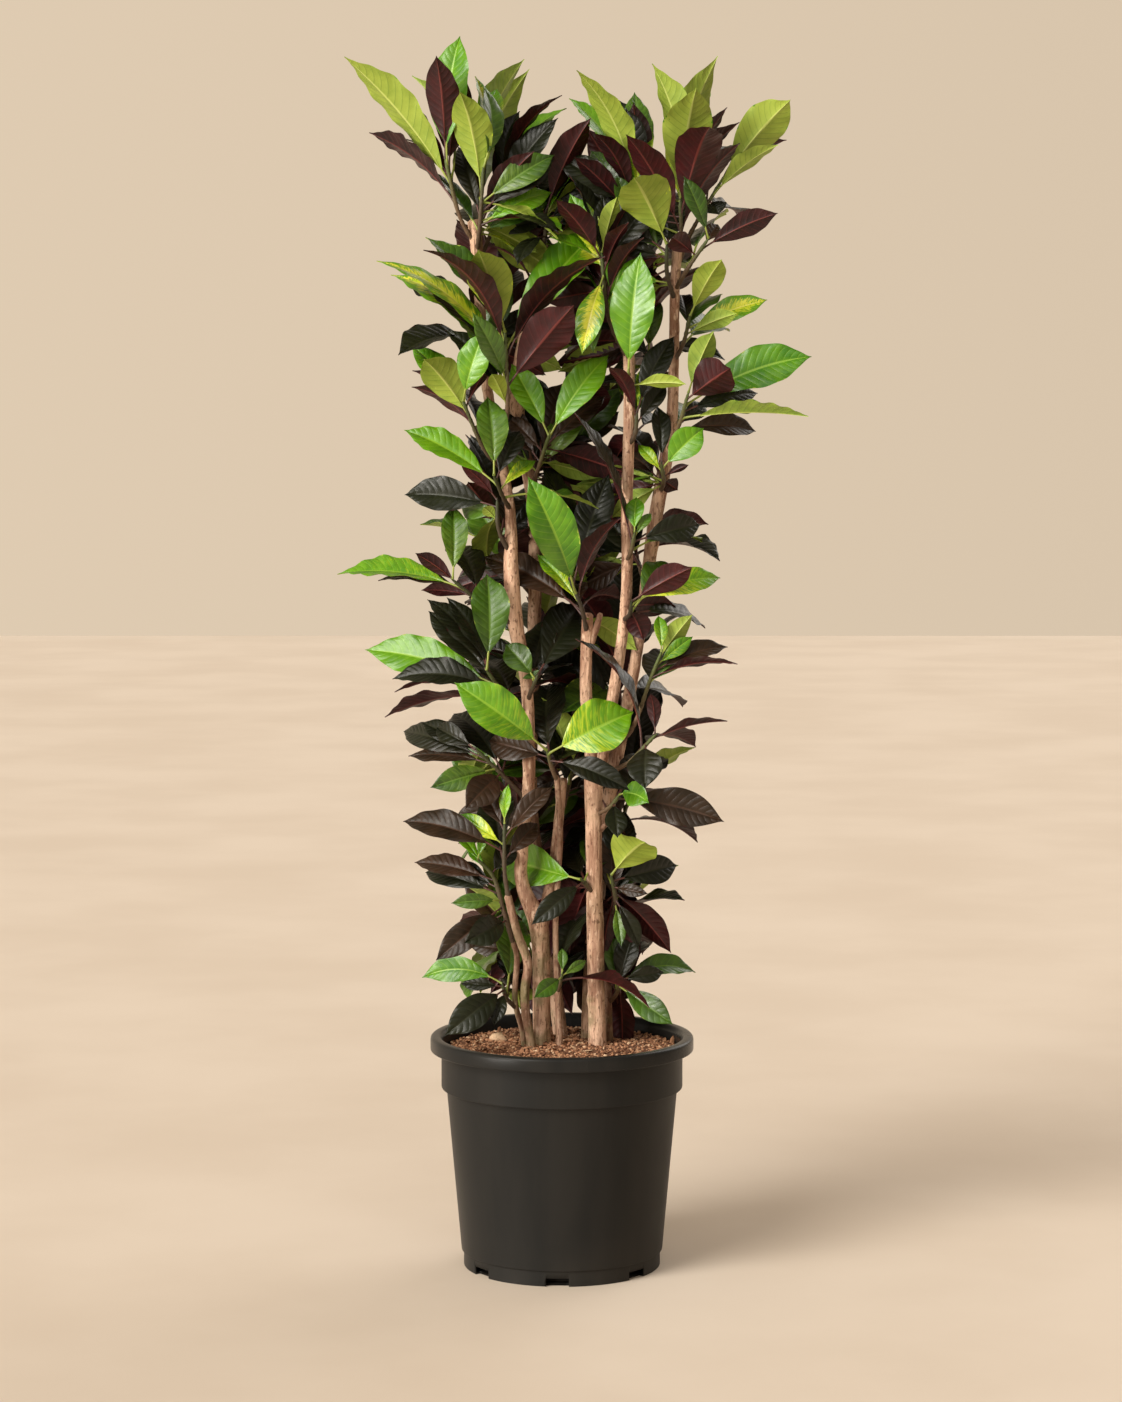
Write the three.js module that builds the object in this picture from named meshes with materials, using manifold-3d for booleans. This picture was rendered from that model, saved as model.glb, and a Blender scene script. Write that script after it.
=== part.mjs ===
// A tall croton in a round nursery pot: pot, potting mix, woody stems and leafy shoots.
// Millimetres, +Z up, origin in the middle of the pot's underside, +Y away from the viewer.
import * as THREE from "three";
import { mergeVertices } from "three/addons/utils/BufferGeometryUtils.js";
import Module from "manifold-3d";

const wasm = await Module();
wasm.setup();

// ---- driving dimensions -------------------------------------------------------------------
const GAP = 0.3; // clearance between pieces that touch
const TOUCH = 1e-3; // the volume in cubic millimetres from which two solids count as crossing
const POT = {
  footRadius: 153.6, footHeight: 24, bodyRadius: 157, stepRadius: 180, stepHeight: 281,
  bandRadius: 188, rimRadius: 205, rimHeight: 362, skirt: 22, lip: 190, wall: 3, floor: 4,
  edge: 5, // the chamfer round the rim's outer edge
  lipDepth: 8, // how far the inner edge of the lip slopes down
  corner: 4, // how far the wall's foot comes in at the floor
  sides: 30, notches: 7, notchWidth: 35, notchHeight: 13, notchDepth: 20, firstNotch: -92.6,
};
const SOIL = {
  edge: 343, crown: 7, sides: 20,
  clear: 4, // from the band's inner wall to the mix
  lump: 2.2, // how far the surface rises and falls
};
const STEM_SIDES = 6;
const ROOTED = 280; // the height in the mix that the stems go down to
const TWIG = {
  base: 5.2, tip: 3.8, // radii
  bud: 5, // how far the twig runs past its crown
  sides: 3,
  leafy: 120, // the most of a twig that carries leaves
  bare: 22, // the least of it by the stem that carries none
};
const LEAF = {
  ratio: 0.44, // full width over blade length
  widest: 0.46, // the same on the broadest leaf
  rib: 0.85, // half the thickness at the midrib
  petiole: 1.7, // petiole radius
  stalk: 0.17, shortStalk: 8, longStalk: 32, // petiole over leaf length, and its least and most
  fold: 0.22, // how far the margins rise from the midrib, over the half width
  arch: 0.2, // how far the curve's control point stands off, over the leaf's length
  wave: 0.07, // margin wave, over the half width
  twist: 0.5, // the range of the blade's twist, in radians
  spacing: 11, // from one leaf's root to the next down the twig, at most
  broad: 71, // a leaf over this width has many rings along its blade, and others few
  fewRings: [0.34, 0.7],
  manyRings: [0.26, 0.54, 0.8],
};
const SEEN = {
  stretch: 1.35, // the most that a leaf's length may be over the length that shows
  lean: 0.1, leanSpread: 0.45, // its least reach in depth over the length that shows, and more
  ratio: 0.396, longest: 175, // full width over blade length, and the longest blade it is for
  flattest: 0.97, // the most of its full width that a leaf shows
};
const RULED = {
  fullShoot: 10, thinShoot: 5, // a front shoot with fewer listed leaves gets one or two behind
  backLeaves: 6, // leaves on each shoot behind
  firstIndex: 20, // their number in the seeded draws
  golden: 137.5, // degrees from one leaf to the next round a twig
  fan: 55, // degrees to either side of straight back
  top: 66, fall: 84, slopeSpread: 16, // slope of the highest leaf, its fall to the lowest, degrees
  length: 160, lengthSpread: 45,
  slant: 0.75, // how much of the sideways reach is kept
  tilt: 1.4, // the range of the slope across a blade
  sag: 14, // how far a twig's middle hangs
  turnOfBend: 0.5, riseOfBend: 0.5, // degrees and millimetres for each millimetre of bend
};
// Steps tried to bend a leaf clear of its neighbours, and the cost of a millimetre of bend in
// cubic millimetres cut into its own shoot.
const BENDS = [0, 14, -14, 28, -28, 42, -42, 58, -58, 76, -76, 96, -96, 118, -118, 142, -142];
const BEND_COST = 0.25;

// ---- the woody stems: x, y, z and thickness down each one ---------------------------------
const STEMS = {
  stem_main_left: [
    [[-30, 10, ROOTED, 29], [-32, 10, 420, 28], [-33, 8, 500, 29], [-38, 5, 540, 31],
      [-62, 0, 600, 21], [-62, -3, 660, 20], [-51, -5, 770, 19], [-56, -5, 920, 19],
      [-71, -3, 1000, 24], [-78, -2, 1080, 24], [-80, 0, 1180, 16], [-98, 2, 1280, 16],
      [-117, 3, 1380, 16], [-129, 2, 1560, 18], [-134, 0, 1623, 22]],
    [[-34, 6, 515, 22], [-14, 26, 620, 17], [2, 44, 760, 14]],
  ],
  stem_main_right: [
    [[57, 0, ROOTED, 32], [54, 0, 400, 27], [52, 0, 500, 27], [49, 0, 700, 26], [49, 0, 750, 30],
      [44, 5, 820, 20], [37, 10, 900, 19], [40, 12, 1020, 18]],
    [[49, 0, 735, 24], [62, -5, 790, 19], [80, -12, 900, 18], [98, -14, 1035, 17],
      [100, -10, 1190, 18], [103, -8, 1370, 17], [98, -4, 1500, 16], [96, 0, 1620, 15]],
    [[38, 12, 950, 12], [60, 8, 1020, 9]],
    [[49, 0, 680, 10], [68, -4, 692, 7]],
  ],
  stem_back_right: [
    [[40, 55, ROOTED, 27], [50, 70, 500, 26], [70, 80, 700, 24], [100, 70, 860, 20],
      [116, 55, 950, 18], [144, 35, 1160, 22], [156, 25, 1230, 22], [169, 15, 1320, 18],
      [172, 10, 1420, 16], [173, 5, 1520, 15], [177, 0, 1584, 16]],
  ],
  stem_back_left: [
    [[6, 80, ROOTED, 24], [-24, 88, 520, 22], [-48, 98, 700, 21], [-46, 100, 900, 21], [-44, 80, 1180, 22],
      [-70, 48, 1340, 24], [-62, 42, 1410, 24], [-35, 52, 1560, 17], [-28, 52, 1590, 15]],
  ],
  stem_front_left: [
    [[-46, -30, ROOTED, 15], [-48, -30, 355, 14], [-56, -34, 400, 14], [-57, -36, 440, 14],
      [-53, -38, 480, 14], [-69, -46, 530, 13], [-84, -55, 590, 12]],
  ],
  stem_far_left: [
    [[-57, -8, ROOTED, 10], [-60, -10, 360, 9], [-73, -20, 420, 9], [-70, -22, 490, 9],
      [-76, -25, 512, 9]],
  ],
  stem_right: [
    [[77, 30, ROOTED, 12], [74, 32, 370, 11], [72, 35, 440, 11], [68, 38, 545, 11]],
  ],
  stem_centre: [
    [[-3, -20, ROOTED, 11], [-4, -20, 370, 10], [-7, -15, 440, 10], [-10, -4, 530, 9],
      [-3, 3, 660, 9], [-3, 0, 690, 9], [-8, -20, 770, 9]],
  ],
};

// ---- the shoots that face the viewer ------------------------------------------------------
// Each stands on a stem at height `from`, and its twig runs on through `path` to the crown.
// A leaf is its tip's x and z, the width that shows and its look. F, G, D, Y and B show the
// upper face (fresh, green, dark, yellow, brown), and L, P and M the lower (lime, pale, maroon).
// to is -1 for a leaf that leans to the viewer and 1 away, and bow lifts the middle of its blade.
const SHOOTS = [
  { on: "stem_main_left", from: 1585, path: [[-154, -16, 1622], [-177, -28, 1712]],
    leaves: [[-328, 1864, 50, "L"], [-285, 1817, 20, "M"], [-245, 1749, 15, "D"], [-188, 1861, 52, "M"],
      [-150, 1844, 58, "M"], [-231, 1846, 16, "P", { to: 1 }], [-155, 1900, 61, "F", { to: 1 }]] },
  { on: "stem_main_left", from: 1570, path: [[-125, -28, 1612], [-119, -42, 1698]],
    leaves: [[-153, 1808, 60, "L"], [-177, 1774, 20, "B"], [-160, 1737, 40, "D"], [-100, 1827, 45, "F"],
      [-133, 1842, 30, "Y"], [-59, 1877, 25, "P", { to: 1 }], [-51, 1865, 46, "L", { to: 1 }],
      [-119, 1822, 30, "G"], [-42, 1723, 40, "M"], [-204, 1699, 18, "G"]] },
  { on: "stem_main_left", from: 1555, path: [[-108, 24, 1607], [-90, 46, 1680]],
    leaves: [[-6, 1777, 45, "D"], [7, 1796, 25, "F"], [0, 1810, 20, "M", { to: 1 }],
      [-65, 1792, 30, "D"], [23, 1703, 36, "D"], [-30, 1734, 30, "L"], [-56, 1669, 16, "Y"],
      [-34, 1643, 50, "Y"], [-88, 1640, 32, "G"]] },
  { on: "stem_main_left", from: 1280, path: [[-84, -46, 1325], [-86, -72, 1450]],
    leaves: [[-207, 1594, 45, "G"], [-282, 1559, 25, "Y"], [-264, 1540, 35, "Y"], [-203, 1568, 25, "M"],
      [-211, 1524, 35, "D"], [-148, 1565, 30, "D"], [-124, 1570, 68, "L"], [64, 1615, 60, "F"],
      [64, 1562, 35, "M"], [18, 1490, 70, "M"], [-166, 1476, 30, "G"], [-178, 1455, 35, "D"],
      [-135, 1480, 35, "G"], [-105, 1387, 27, "L"]] },
  { on: "stem_main_left", from: 1240, path: [[-120, -35, 1275], [-150, -60, 1346]],
    leaves: [[-232, 1431, 35, "F"], [-208, 1410, 60, "L"], [-229, 1393, 18, "M"], [-229, 1368, 24, "M"],
      [-92, 1418, 20, "M"], [-116, 1453, 50, "F"]] },
  { on: "stem_main_left", from: 1180, path: [[-92, -45, 1205], [-103, -75, 1233]],
    leaves: [[-242, 1302, 40, "F", { bow: 10 }], [-114, 1353, 50, "G"], [-65, 1300, 40, "D"],
      [-40, 1255, 20, "F"]] },
  { on: "stem_main_left", from: 1110, path: [[-97, -22, 1150], [-99, -30, 1195]],
    leaves: [[-243, 1202, 56, "D", { bow: 8 }], [-155, 1252, 23, "M"], [-155, 1183, 36, "G"],
      [-120, 1185, 20, "P"]] },
  { on: "stem_main_left", from: 1000, path: [[-112, -22, 1028], [-167, -46, 1074]],
    leaves: [[-168, 1186, 42, "G"], [-348, 1079, 30, "F", { bow: 14 }], [-284, 1070, 14, "B"],
      [-216, 1057, 24, "M"], [-224, 1115, 26, "M"]] },
  { on: "stem_main_left", from: 865, path: [[-82, -35, 890], [-115, -60, 936]],
    leaves: [[-116, 1081, 60, "G"], [-307, 960, 58, "F", { bow: 12 }], [-208, 1041, 40, "D"],
      [-207, 1022, 45, "D"], [-177, 1046, 30, "D"], [-261, 920, 38, "D"], [-258, 900, 20, "M"],
      [-277, 854, 20, "M"], [-160, 923, 20, "B"]] },
  { on: "stem_main_left", from: 880, path: [[-46, -22, 905], [-38, -30, 925]],
    leaves: [[29, 1025, 75, "D"], [-87, 972, 42, "G"], [-50, 930, 28, "G"]] },
  { on: "stem_centre", from: 762, path: [[-16, -34, 785], [-23, -48, 812]],
    leaves: [[-164, 919, 70, "F"], [110, 870, 84, "F"],
      [-114, 820, 46, "B"], [104, 754, 34, "D"]] },
  { on: "stem_main_left", from: 730, path: [[-86, -15, 764], [-132, -28, 812]],
    leaves: [[-250, 826, 40, "D"], [-239, 796, 20, "B"], [-219, 845, 30, "D"], [-195, 840, 35, "D"],
      [-202, 756, 40, "G"], [-148, 726, 50, "B"]] },
  { on: "stem_front_left", from: 580, path: [[-88, -61, 625], [-88, -66, 700]],
    leaves: [[-158, 711, 28, "F"], [-82, 760, 18, "F"], [-14, 755, 30, "B"], [-130, 760, 40, "B"],
      [-246, 698, 42, "B"], [-38, 695, 34, "B"]] },
  { on: "stem_far_left", from: 505, path: [[-90, -28, 560], [-107, -32, 616], [-130, -40, 642]],
    leaves: [[-168, 682, 18, "F"], [-116, 690, 16, "F"], [-147, 658, 16, "F"], [-230, 629, 30, "B"],
      [-214, 610, 34, "D"], [-168, 625, 35, "D"], [-171, 576, 24, "G"], [-150, 520, 45, "D"],
      [-75, 660, 35, "D"], [-155, 510, 30, "M"], [-194, 490, 45, "B"]] },
  { on: "stem_main_right", from: 580, path: [[38, -22, 600], [30, -34, 610]],
    leaves: [[-99, 626, 70, "F"], [-47, 547, 36, "D"]] },
  { on: "stem_far_left", from: 405, path: [[-86, -30, 425], [-92, -36, 448]],
    leaves: [[-218, 452, 40, "F", { bow: 18 }], [-157, 445, 20, "D"], [-180, 378, 50, "D"],
      [-105, 388, 25, "D"]] },
  { on: "stem_centre", from: 432, path: [[-3, -28, 448], [0, -34, 462]],
    leaves: [[38, 480, 16, "G"], [0, 500, 16, "G"], [-43, 433, 28, "G"]] },
  { on: "stem_right", from: 535, path: [[83, 10, 565], [76, -14, 614]],
    leaves: [[127, 675, 75, "L"], [180, 622, 46, "D"],
      [133, 588, 20, "B"], [172, 480, 42, "M"], [92, 504, 20, "G"],
      [120, 500, 25, "D"]] },
  { on: "stem_right", from: 405, path: [[86, 22, 424], [90, 12, 446]],
    leaves: [[211, 447, 30, "G", { bow: 18 }], [159, 455, 28, "D"], [172, 383, 40, "G"]] },
  { on: "stem_main_right", from: 705, path: [[74, -24, 722], [88, -34, 742]],
    leaves: [[249, 703, 58, "B", { bow: 8 }], [133, 734, 40, "F", { bow: 8 }], [85, 680, 35, "D"]] },
  { on: "stem_main_right", from: 1010, path: [[104, -44, 1022], [106, -62, 1042]],
    leaves: [[197, 1097, 46, "M"], [244, 1075, 40, "F"], [125, 980, 40, "M"], [177, 1030, 40, "M"]] },
  { on: "stem_main_right", from: 800, path: [[104, -30, 838], [136, -44, 922], [152, -52, 963]],
    leaves: [[200, 1020, 34, "P"], [148, 1018, 22, "F"], [201, 986, 24, "F"], [256, 968, 28, "B"],
      [266, 950, 15, "M"], [190, 946, 15, "G"]] },
  { on: "stem_main_right", from: 770, path: [[100, -46, 792], [142, -74, 838]],
    leaves: [[135, 904, 23, "M"], [252, 861, 12, "M"], [126, 761, 55, "D"]] },
  { on: "stem_main_right", from: 1100, path: [[106, -36, 1118], [111, -52, 1146]],
    leaves: [[114, 1199, 30, "F"], [137, 1175, 16, "G"], [213, 1156, 45, "D"]] },
  { on: "stem_back_right", from: 1205, path: [[156, -8, 1225], [152, -26, 1250]],
    leaves: [[217, 1305, 48, "F"], [147, 1338, 31, "D"], [117, 1279, 20, "F"], [179, 1209, 28, "M"],
      [194, 1249, 12, "M"]] },
  { on: "stem_main_right", from: 1275, path: [[112, -26, 1298], [114, -34, 1328]],
    leaves: [[69, 1398, 20, "M"], [188, 1422, 20, "F"], [172, 1445, 40, "D"], [160, 1372, 30, "D"]] },
  { on: "stem_main_right", from: 1345, path: [[104, -50, 1362], [100, -72, 1385]],
    leaves: [[95, 1529, 63, "F"], [119, 1570, 70, "F", { to: 1 }], [187, 1372, 20, "L"]] },
  { on: "stem_back_right", from: 1265, path: [[178, -18, 1306], [192, -46, 1358]],
    leaves: [[253, 1396, 65, "M"], [382, 1414, 62, "F", { bow: 14 }], [302, 1358, 36, "D"],
      [371, 1324, 15, "P", { bow: 8 }], [300, 1299, 34, "B"], [220, 1340, 30, "D"],
      [229, 1452, 40, "P"]] },
  { on: "stem_back_right", from: 1405, path: [[186, -8, 1435], [195, -16, 1475]],
    leaves: [[315, 1501, 36, "Y", { bow: 4 }], [241, 1559, 46, "L"], [266, 1479, 30, "P"],
      [185, 1510, 30, "D"]] },
  { on: "stem_back_right", from: 1560, path: [[181, -10, 1600], [180, -18, 1653]],
    leaves: [[200, 1812, 75, "L"], [240, 1876, 55, "L", { to: 1 }], [137, 1857, 43, "L"],
      [237, 1850, 37, "F"], [218, 1750, 68, "M"], [96, 1746, 45, "M"], [250, 1790, 35, "M"],
      [272, 1772, 25, "M"], [269, 1735, 35, "M"]] },
  { on: "stem_back_right", from: 1545, path: [[196, 14, 1600], [243, 26, 1680]],
    leaves: [[345, 1800, 66, "L"], [348, 1749, 20, "M"], [327, 1733, 26, "P"], [240, 1630, 38, "D"]] },
  { on: "stem_back_right", from: 1515, path: [[190, -24, 1545], [222, -44, 1592]],
    leaves: [[327, 1630, 40, "M", { bow: 6 }], [238, 1615, 26, "B"], [184, 1685, 30, "G"],
      [166, 1593, 35, "M"]] },
  { on: "stem_back_right", from: 1500, path: [[160, -28, 1540], [159, -46, 1583]],
    leaves: [[107, 1678, 80, "L"], [140, 1547, 18, "P"]] },
  { on: "stem_main_right", from: 1590, path: [[104, 14, 1632], [118, 24, 1675]],
    leaves: [[22, 1842, 42, "L"], [11, 1810, 40, "F"], [98, 1795, 40, "D"], [107, 1748, 25, "Y"],
      [49, 1750, 30, "M"], [18, 1715, 30, "M"], [44, 1731, 40, "G"], [83, 1690, 30, "G"]] },
  { on: "stem_back_left", from: 1560, path: [[-26, 36, 1600], [-25, 22, 1633]],
    leaves: [[44, 1776, 45, "M"], [43, 1655, 30, "D"], [-55, 1575, 35, "M"]] },
  { on: "stem_main_right", from: 1410, path: [[72, -32, 1470], [60, -42, 1570]],
    leaves: [[83, 1654, 30, "L"], [32, 1580, 40, "Y"], [82, 1648, 26, "P"], [30, 1417, 43, "Y"],
      [48, 1420, 30, "G"]] },
  { on: "stem_back_left", from: 1205, path: [[-34, 16, 1250], [-20, -14, 1293]],
    leaves: [[-78, 1403, 46, "F"], [72, 1417, 50, "F"], [-83, 1321, 30, "B"], [67, 1353, 36, "B"]] },
  { on: "stem_main_right", from: 985, path: [[30, -16, 1030], [12, -30, 1072]],
    leaves: [[-52, 1233, 72, "F"], [-32, 1262, 45, "D", { to: 1 }], [-39, 1109, 26, "F"],
      [73, 1234, 56, "D"], [-125, 1103, 46, "B"], [90, 1170, 30, "M"]] },
];

// ---- the shoots behind: stem, height on it, and the crown's place --------------------------
const BACK_SHOOTS = [
  ["stem_main_left", 690, [20, 120, 790]], ["stem_back_right", 470, [90, 150, 540]],
  ["stem_back_left", 450, [-100, 150, 520]], ["stem_back_right", 640, [110, 170, 720]],
  ["stem_back_left", 640, [-80, 190, 720]], ["stem_back_right", 830, [90, 170, 930]],
  ["stem_back_left", 860, [-30, 200, 960]], ["stem_back_left", 1040, [-100, 170, 1130]],
  ["stem_back_right", 1060, [110, 140, 1150]], ["stem_back_left", 1200, [20, 170, 1290]],
  ["stem_main_left", 1420, [-120, 110, 1470]], ["stem_back_right", 1380, [110, 120, 1460]],
];

// ---- helpers ------------------------------------------------------------------------------
const rad = THREE.MathUtils.degToRad;
const vec = (p) => new THREE.Vector3(p[0], p[1], p[2]);

// A seeded draw from 0 to 1 for one leaf, so that no draw depends on the ones before it.
function draw(shoot, leaf, what) {
  const wave = Math.sin(shoot * 12.9898 + leaf * 78.233 + what * 37.719) * 4375.8545;
  return wave - Math.floor(wave);
}

function solidOf(geometry) {
  geometry.deleteAttribute("normal");
  geometry.deleteAttribute("uv");
  const merged = mergeVertices(geometry, 1e-5);
  return new wasm.Manifold(new wasm.Mesh({
    numProp: 3,
    vertProperties: new Float32Array(merged.attributes.position.array),
    triVerts: new Uint32Array(merged.index.array),
  }));
}

function geometryOf(solid) {
  const mesh = solid.getMesh();
  const geometry = new THREE.BufferGeometry();
  geometry.setAttribute("position", new THREE.BufferAttribute(mesh.vertProperties, 3));
  geometry.setIndex(new THREE.BufferAttribute(mesh.triVerts, 1));
  geometry.computeVertexNormals();
  return geometry;
}

// A round rod through the given points, with a radius at each: a cylinder laid along a curve.
function rod(points, radii, sides, grow = 0) {
  const curve = new THREE.CatmullRomCurve3(points, false, "centripetal");
  const steps = points.length - 1;
  const frames = curve.computeFrenetFrames(steps, false);
  const geometry = new THREE.CylinderGeometry(1, 1, 1, sides, steps);
  const place = geometry.attributes.position;
  for (let i = 0; i < place.count; i += 1) {
    const at = Math.round((place.getY(i) + 0.5) * steps);
    const tangent = curve.getTangent(at / steps);
    const across = frames.normals[at].clone().addScaledVector(tangent, -frames.normals[at].dot(tangent));
    across.normalize();
    const beside = new THREE.Vector3().crossVectors(across, tangent);
    const size = radii[at] + grow;
    const point = points[at].clone().addScaledVector(across, place.getX(i) * size);
    point.addScaledVector(beside, place.getZ(i) * size);
    if (at === 0) point.addScaledVector(tangent, -grow);
    if (at === steps) point.addScaledVector(tangent, grow);
    place.setXYZ(i, point.x, point.y, point.z);
  }
  return solidOf(geometry);
}

// ---- pot ----------------------------------------------------------------------------------
function potSolid() {
  const p = POT;
  const innerStep = p.stepRadius - p.wall;
  const innerFoot = p.bodyRadius - p.wall;
  const outline = [
    [0, 0], [p.footRadius, 0], [p.footRadius, p.footHeight], [p.bodyRadius, p.footHeight],
    [p.stepRadius, p.stepHeight], [p.bandRadius, p.stepHeight], [p.bandRadius, p.rimHeight - p.skirt],
    [p.rimRadius, p.rimHeight - p.skirt], [p.rimRadius, p.rimHeight - p.edge],
    [p.rimRadius - p.edge, p.rimHeight], [p.lip, p.rimHeight],
    [p.bandRadius - p.wall, p.rimHeight - p.lipDepth], [innerStep, p.stepHeight - p.wall],
    [innerFoot - p.corner, p.floor], [0, p.floor],
  ].map(([r, z]) => new THREE.Vector2(r, z));
  let pot = solidOf(new THREE.LatheGeometry(outline, p.sides).rotateX(Math.PI / 2));
  for (let i = 0; i < p.notches; i += 1) {
    const notch = new THREE.BoxGeometry(p.notchDepth, p.notchWidth, p.notchHeight * 2);
    notch.translate(p.footRadius, 0, 0).rotateZ(rad(p.firstNotch + (i * 360) / p.notches));
    pot = pot.subtract(solidOf(notch));
  }
  return pot;
}

// ---- potting mix --------------------------------------------------------------------------
function soilSolid(stems) {
  const p = POT;
  const edge = p.bandRadius - p.wall - SOIL.clear;
  const foot = p.bodyRadius - p.wall - p.corner - SOIL.clear / 2;
  const step = p.stepRadius - p.wall - SOIL.clear / 2;
  const outline = [
    [0, p.floor + GAP], [foot, p.floor + GAP], [step, p.stepHeight - p.wall], [edge, SOIL.edge],
    [edge * 0.66, SOIL.edge + SOIL.crown * 0.6], [edge * 0.33, SOIL.edge + SOIL.crown],
    [0, SOIL.edge + SOIL.crown],
  ].map(([r, z]) => new THREE.Vector2(r, z));
  const lathe = new THREE.LatheGeometry(outline, SOIL.sides).rotateX(Math.PI / 2);
  const place = lathe.attributes.position;
  for (let i = 0; i < place.count; i += 1) {
    const [x, y, z] = [place.getX(i), place.getY(i), place.getZ(i)];
    const inside = z > SOIL.edge - 1 && Math.hypot(x, y) < edge - 1 && Math.hypot(x, y) > 1;
    if (inside) place.setZ(i, z + SOIL.lump * Math.sin(x * 0.06 + 1) * Math.cos(y * 0.05));
  }
  let soil = solidOf(lathe);
  for (const stem of Object.values(stems)) soil = soil.subtract(stem.inflated);
  return soil;
}

// ---- stems --------------------------------------------------------------------------------
function stemSolid(limbs) {
  const build = (grow) => limbs
    .map((limb) => rod(limb.map(vec), limb.map((p) => p[3] / 2), STEM_SIDES, grow))
    .reduce((all, limb) => all.add(limb));
  return { limbs, solid: build(0), inflated: build(GAP) };
}

// The stem's axis at a height, on the limb that comes nearest to the shoot.
function axisAt(stem, height, near) {
  let best = null;
  for (const limb of stem.limbs) {
    for (let i = 1; i < limb.length; i += 1) {
      const [low, high] = [vec(limb[i - 1]), vec(limb[i])];
      if (height < low.z || height > high.z) continue;
      const point = low.lerp(high, (height - low.z) / (high.z - low.z));
      if (!best || point.distanceTo(near) < best.distanceTo(near)) best = point;
    }
  }
  return best;
}

// ---- leaves -------------------------------------------------------------------------------
// A leaf is a curve from its root on the twig to its tip, the direction across its blade, its
// real width, and how it twists, folds and waves. `bend` moves its tip to clear a neighbour.

// A leaf that shows in front: its depth and turn follow from how wide and how long it looks.
function seenLeaf(root, entry, shoot, index, bend) {
  const [x, z, width, look, extra = {}] = entry;
  const [dx, dz] = [x - root.x, z - root.z];
  const flat = Math.hypot(dx, dz);
  const petiole = THREE.MathUtils.clamp(flat * LEAF.stalk, LEAF.shortStalk, LEAF.longStalk);
  const under = "LPM".includes(look);
  const toward = extra.to ?? (under === dz > 0 ? -1 : 1);
  const blade = Math.max(flat - petiole, width / LEAF.widest);
  const reach = Math.min(blade + petiole, flat * SEEN.stretch);
  const hidden = Math.sqrt(Math.max(0, reach * reach - flat * flat));
  const lean = SEEN.lean + SEEN.leanSpread * draw(shoot, index, 8);
  const tip = new THREE.Vector3(x, root.y + toward * Math.max(hidden, flat * lean) + bend, z);
  const along = tip.clone().sub(root).normalize();
  const full = Math.max(width, SEEN.ratio * Math.min(blade, SEEN.longest));
  const shown = Math.min(width / full, SEEN.flattest);
  const rest = Math.sqrt(1 - shown * shown);
  const facing = under ? 1 : -1;
  let best = null;
  for (const turn of [-1, 1]) {
    const side = new THREE.Vector3((-dz / flat) * shown, turn * rest, (dx / flat) * shown);
    side.addScaledVector(along, -side.dot(along)).normalize();
    const up = new THREE.Vector3().crossVectors(side, along);
    const flip = up.y * facing < 0 ? -1 : 1;
    side.multiplyScalar(flip);
    up.multiplyScalar(flip);
    if (!best || up.z > best.up.z) best = { side, up };
  }
  const bow = new THREE.Vector3(0, 0, 2 * (extra.bow ?? 0));
  return shapeLeaf(root, tip, best.side, best.up, full, petiole, bow, shoot, index);
}

// A leaf by rule: azimuth round the twig, slope and length, with its blade nearly level across.
function ruledLeaf(root, azimuth, slope, length, shoot, index, bend) {
  const turn = rad(azimuth + bend * RULED.turnOfBend);
  const rise = rad(slope);
  const ahead = new THREE.Vector3(Math.cos(turn) * RULED.slant, Math.sin(turn), 0);
  ahead.multiplyScalar(Math.cos(rise)).setZ(Math.sin(rise));
  const tip = root.clone().addScaledVector(ahead, length);
  tip.z += bend * RULED.riseOfBend;
  const along = tip.clone().sub(root).normalize();
  const tilt = (draw(shoot, index, 5) - 0.5) * RULED.tilt;
  const side = new THREE.Vector3(-Math.sin(turn), Math.cos(turn), tilt);
  side.addScaledVector(along, -side.dot(along)).normalize();
  const up = new THREE.Vector3().crossVectors(side, along);
  const flip = up.z < 0 ? -1 : 1;
  side.multiplyScalar(flip);
  up.multiplyScalar(flip);
  const petiole = length * LEAF.stalk;
  const width = LEAF.ratio * (length - petiole);
  return shapeLeaf(root, tip, side, up, width, petiole, new THREE.Vector3(), shoot, index);
}

function shapeLeaf(root, tip, side, up, width, petiole, bow, shoot, index) {
  const length = tip.distanceTo(root);
  const arch = bow.z ? 0 : LEAF.arch * length * (0.6 + draw(shoot, index, 1));
  const control = root.clone().lerp(tip, 0.5).addScaledVector(up, arch).add(bow);
  return {
    curve: new THREE.QuadraticBezierCurve3(root, control, tip),
    side,
    width,
    stalk: petiole / length,
    twist: (draw(shoot, index, 2) - 0.5) * LEAF.twist,
    fold: LEAF.fold * (0.4 + 1.2 * draw(shoot, index, 3)),
    wave: LEAF.wave * (draw(shoot, index, 4) < 0.5 ? -1 : 1),
  };
}

// The blade's half width over its length, from 0 at the petiole to 0 at the tip.
function outline(u) {
  return Math.pow(Math.sin(Math.PI * Math.pow(u, 1.05)), 0.95);
}

// The leaf's own directions at one place on its curve, as a function of across and up.
function leafFrame(leaf, t) {
  const point = leaf.curve.getPoint(t);
  const tangent = leaf.curve.getTangent(t);
  const side = leaf.side.clone().addScaledVector(tangent, -leaf.side.dot(tangent)).normalize();
  side.applyAxisAngle(tangent, leaf.twist * (t - 0.3));
  const up = new THREE.Vector3().crossVectors(side, tangent);
  return (across, rise) => point.clone().addScaledVector(side, across).addScaledVector(up, rise);
}

// Three points round the petiole, and four round the blade: rib top, right margin, rib underside
// and left margin.
function petioleRing(leaf, t, size) {
  const at = leafFrame(leaf, t);
  const wide = (size * Math.sqrt(3)) / 2;
  return [at(0, size), at(wide, -size / 2), at(-wide, -size / 2)];
}

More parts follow.
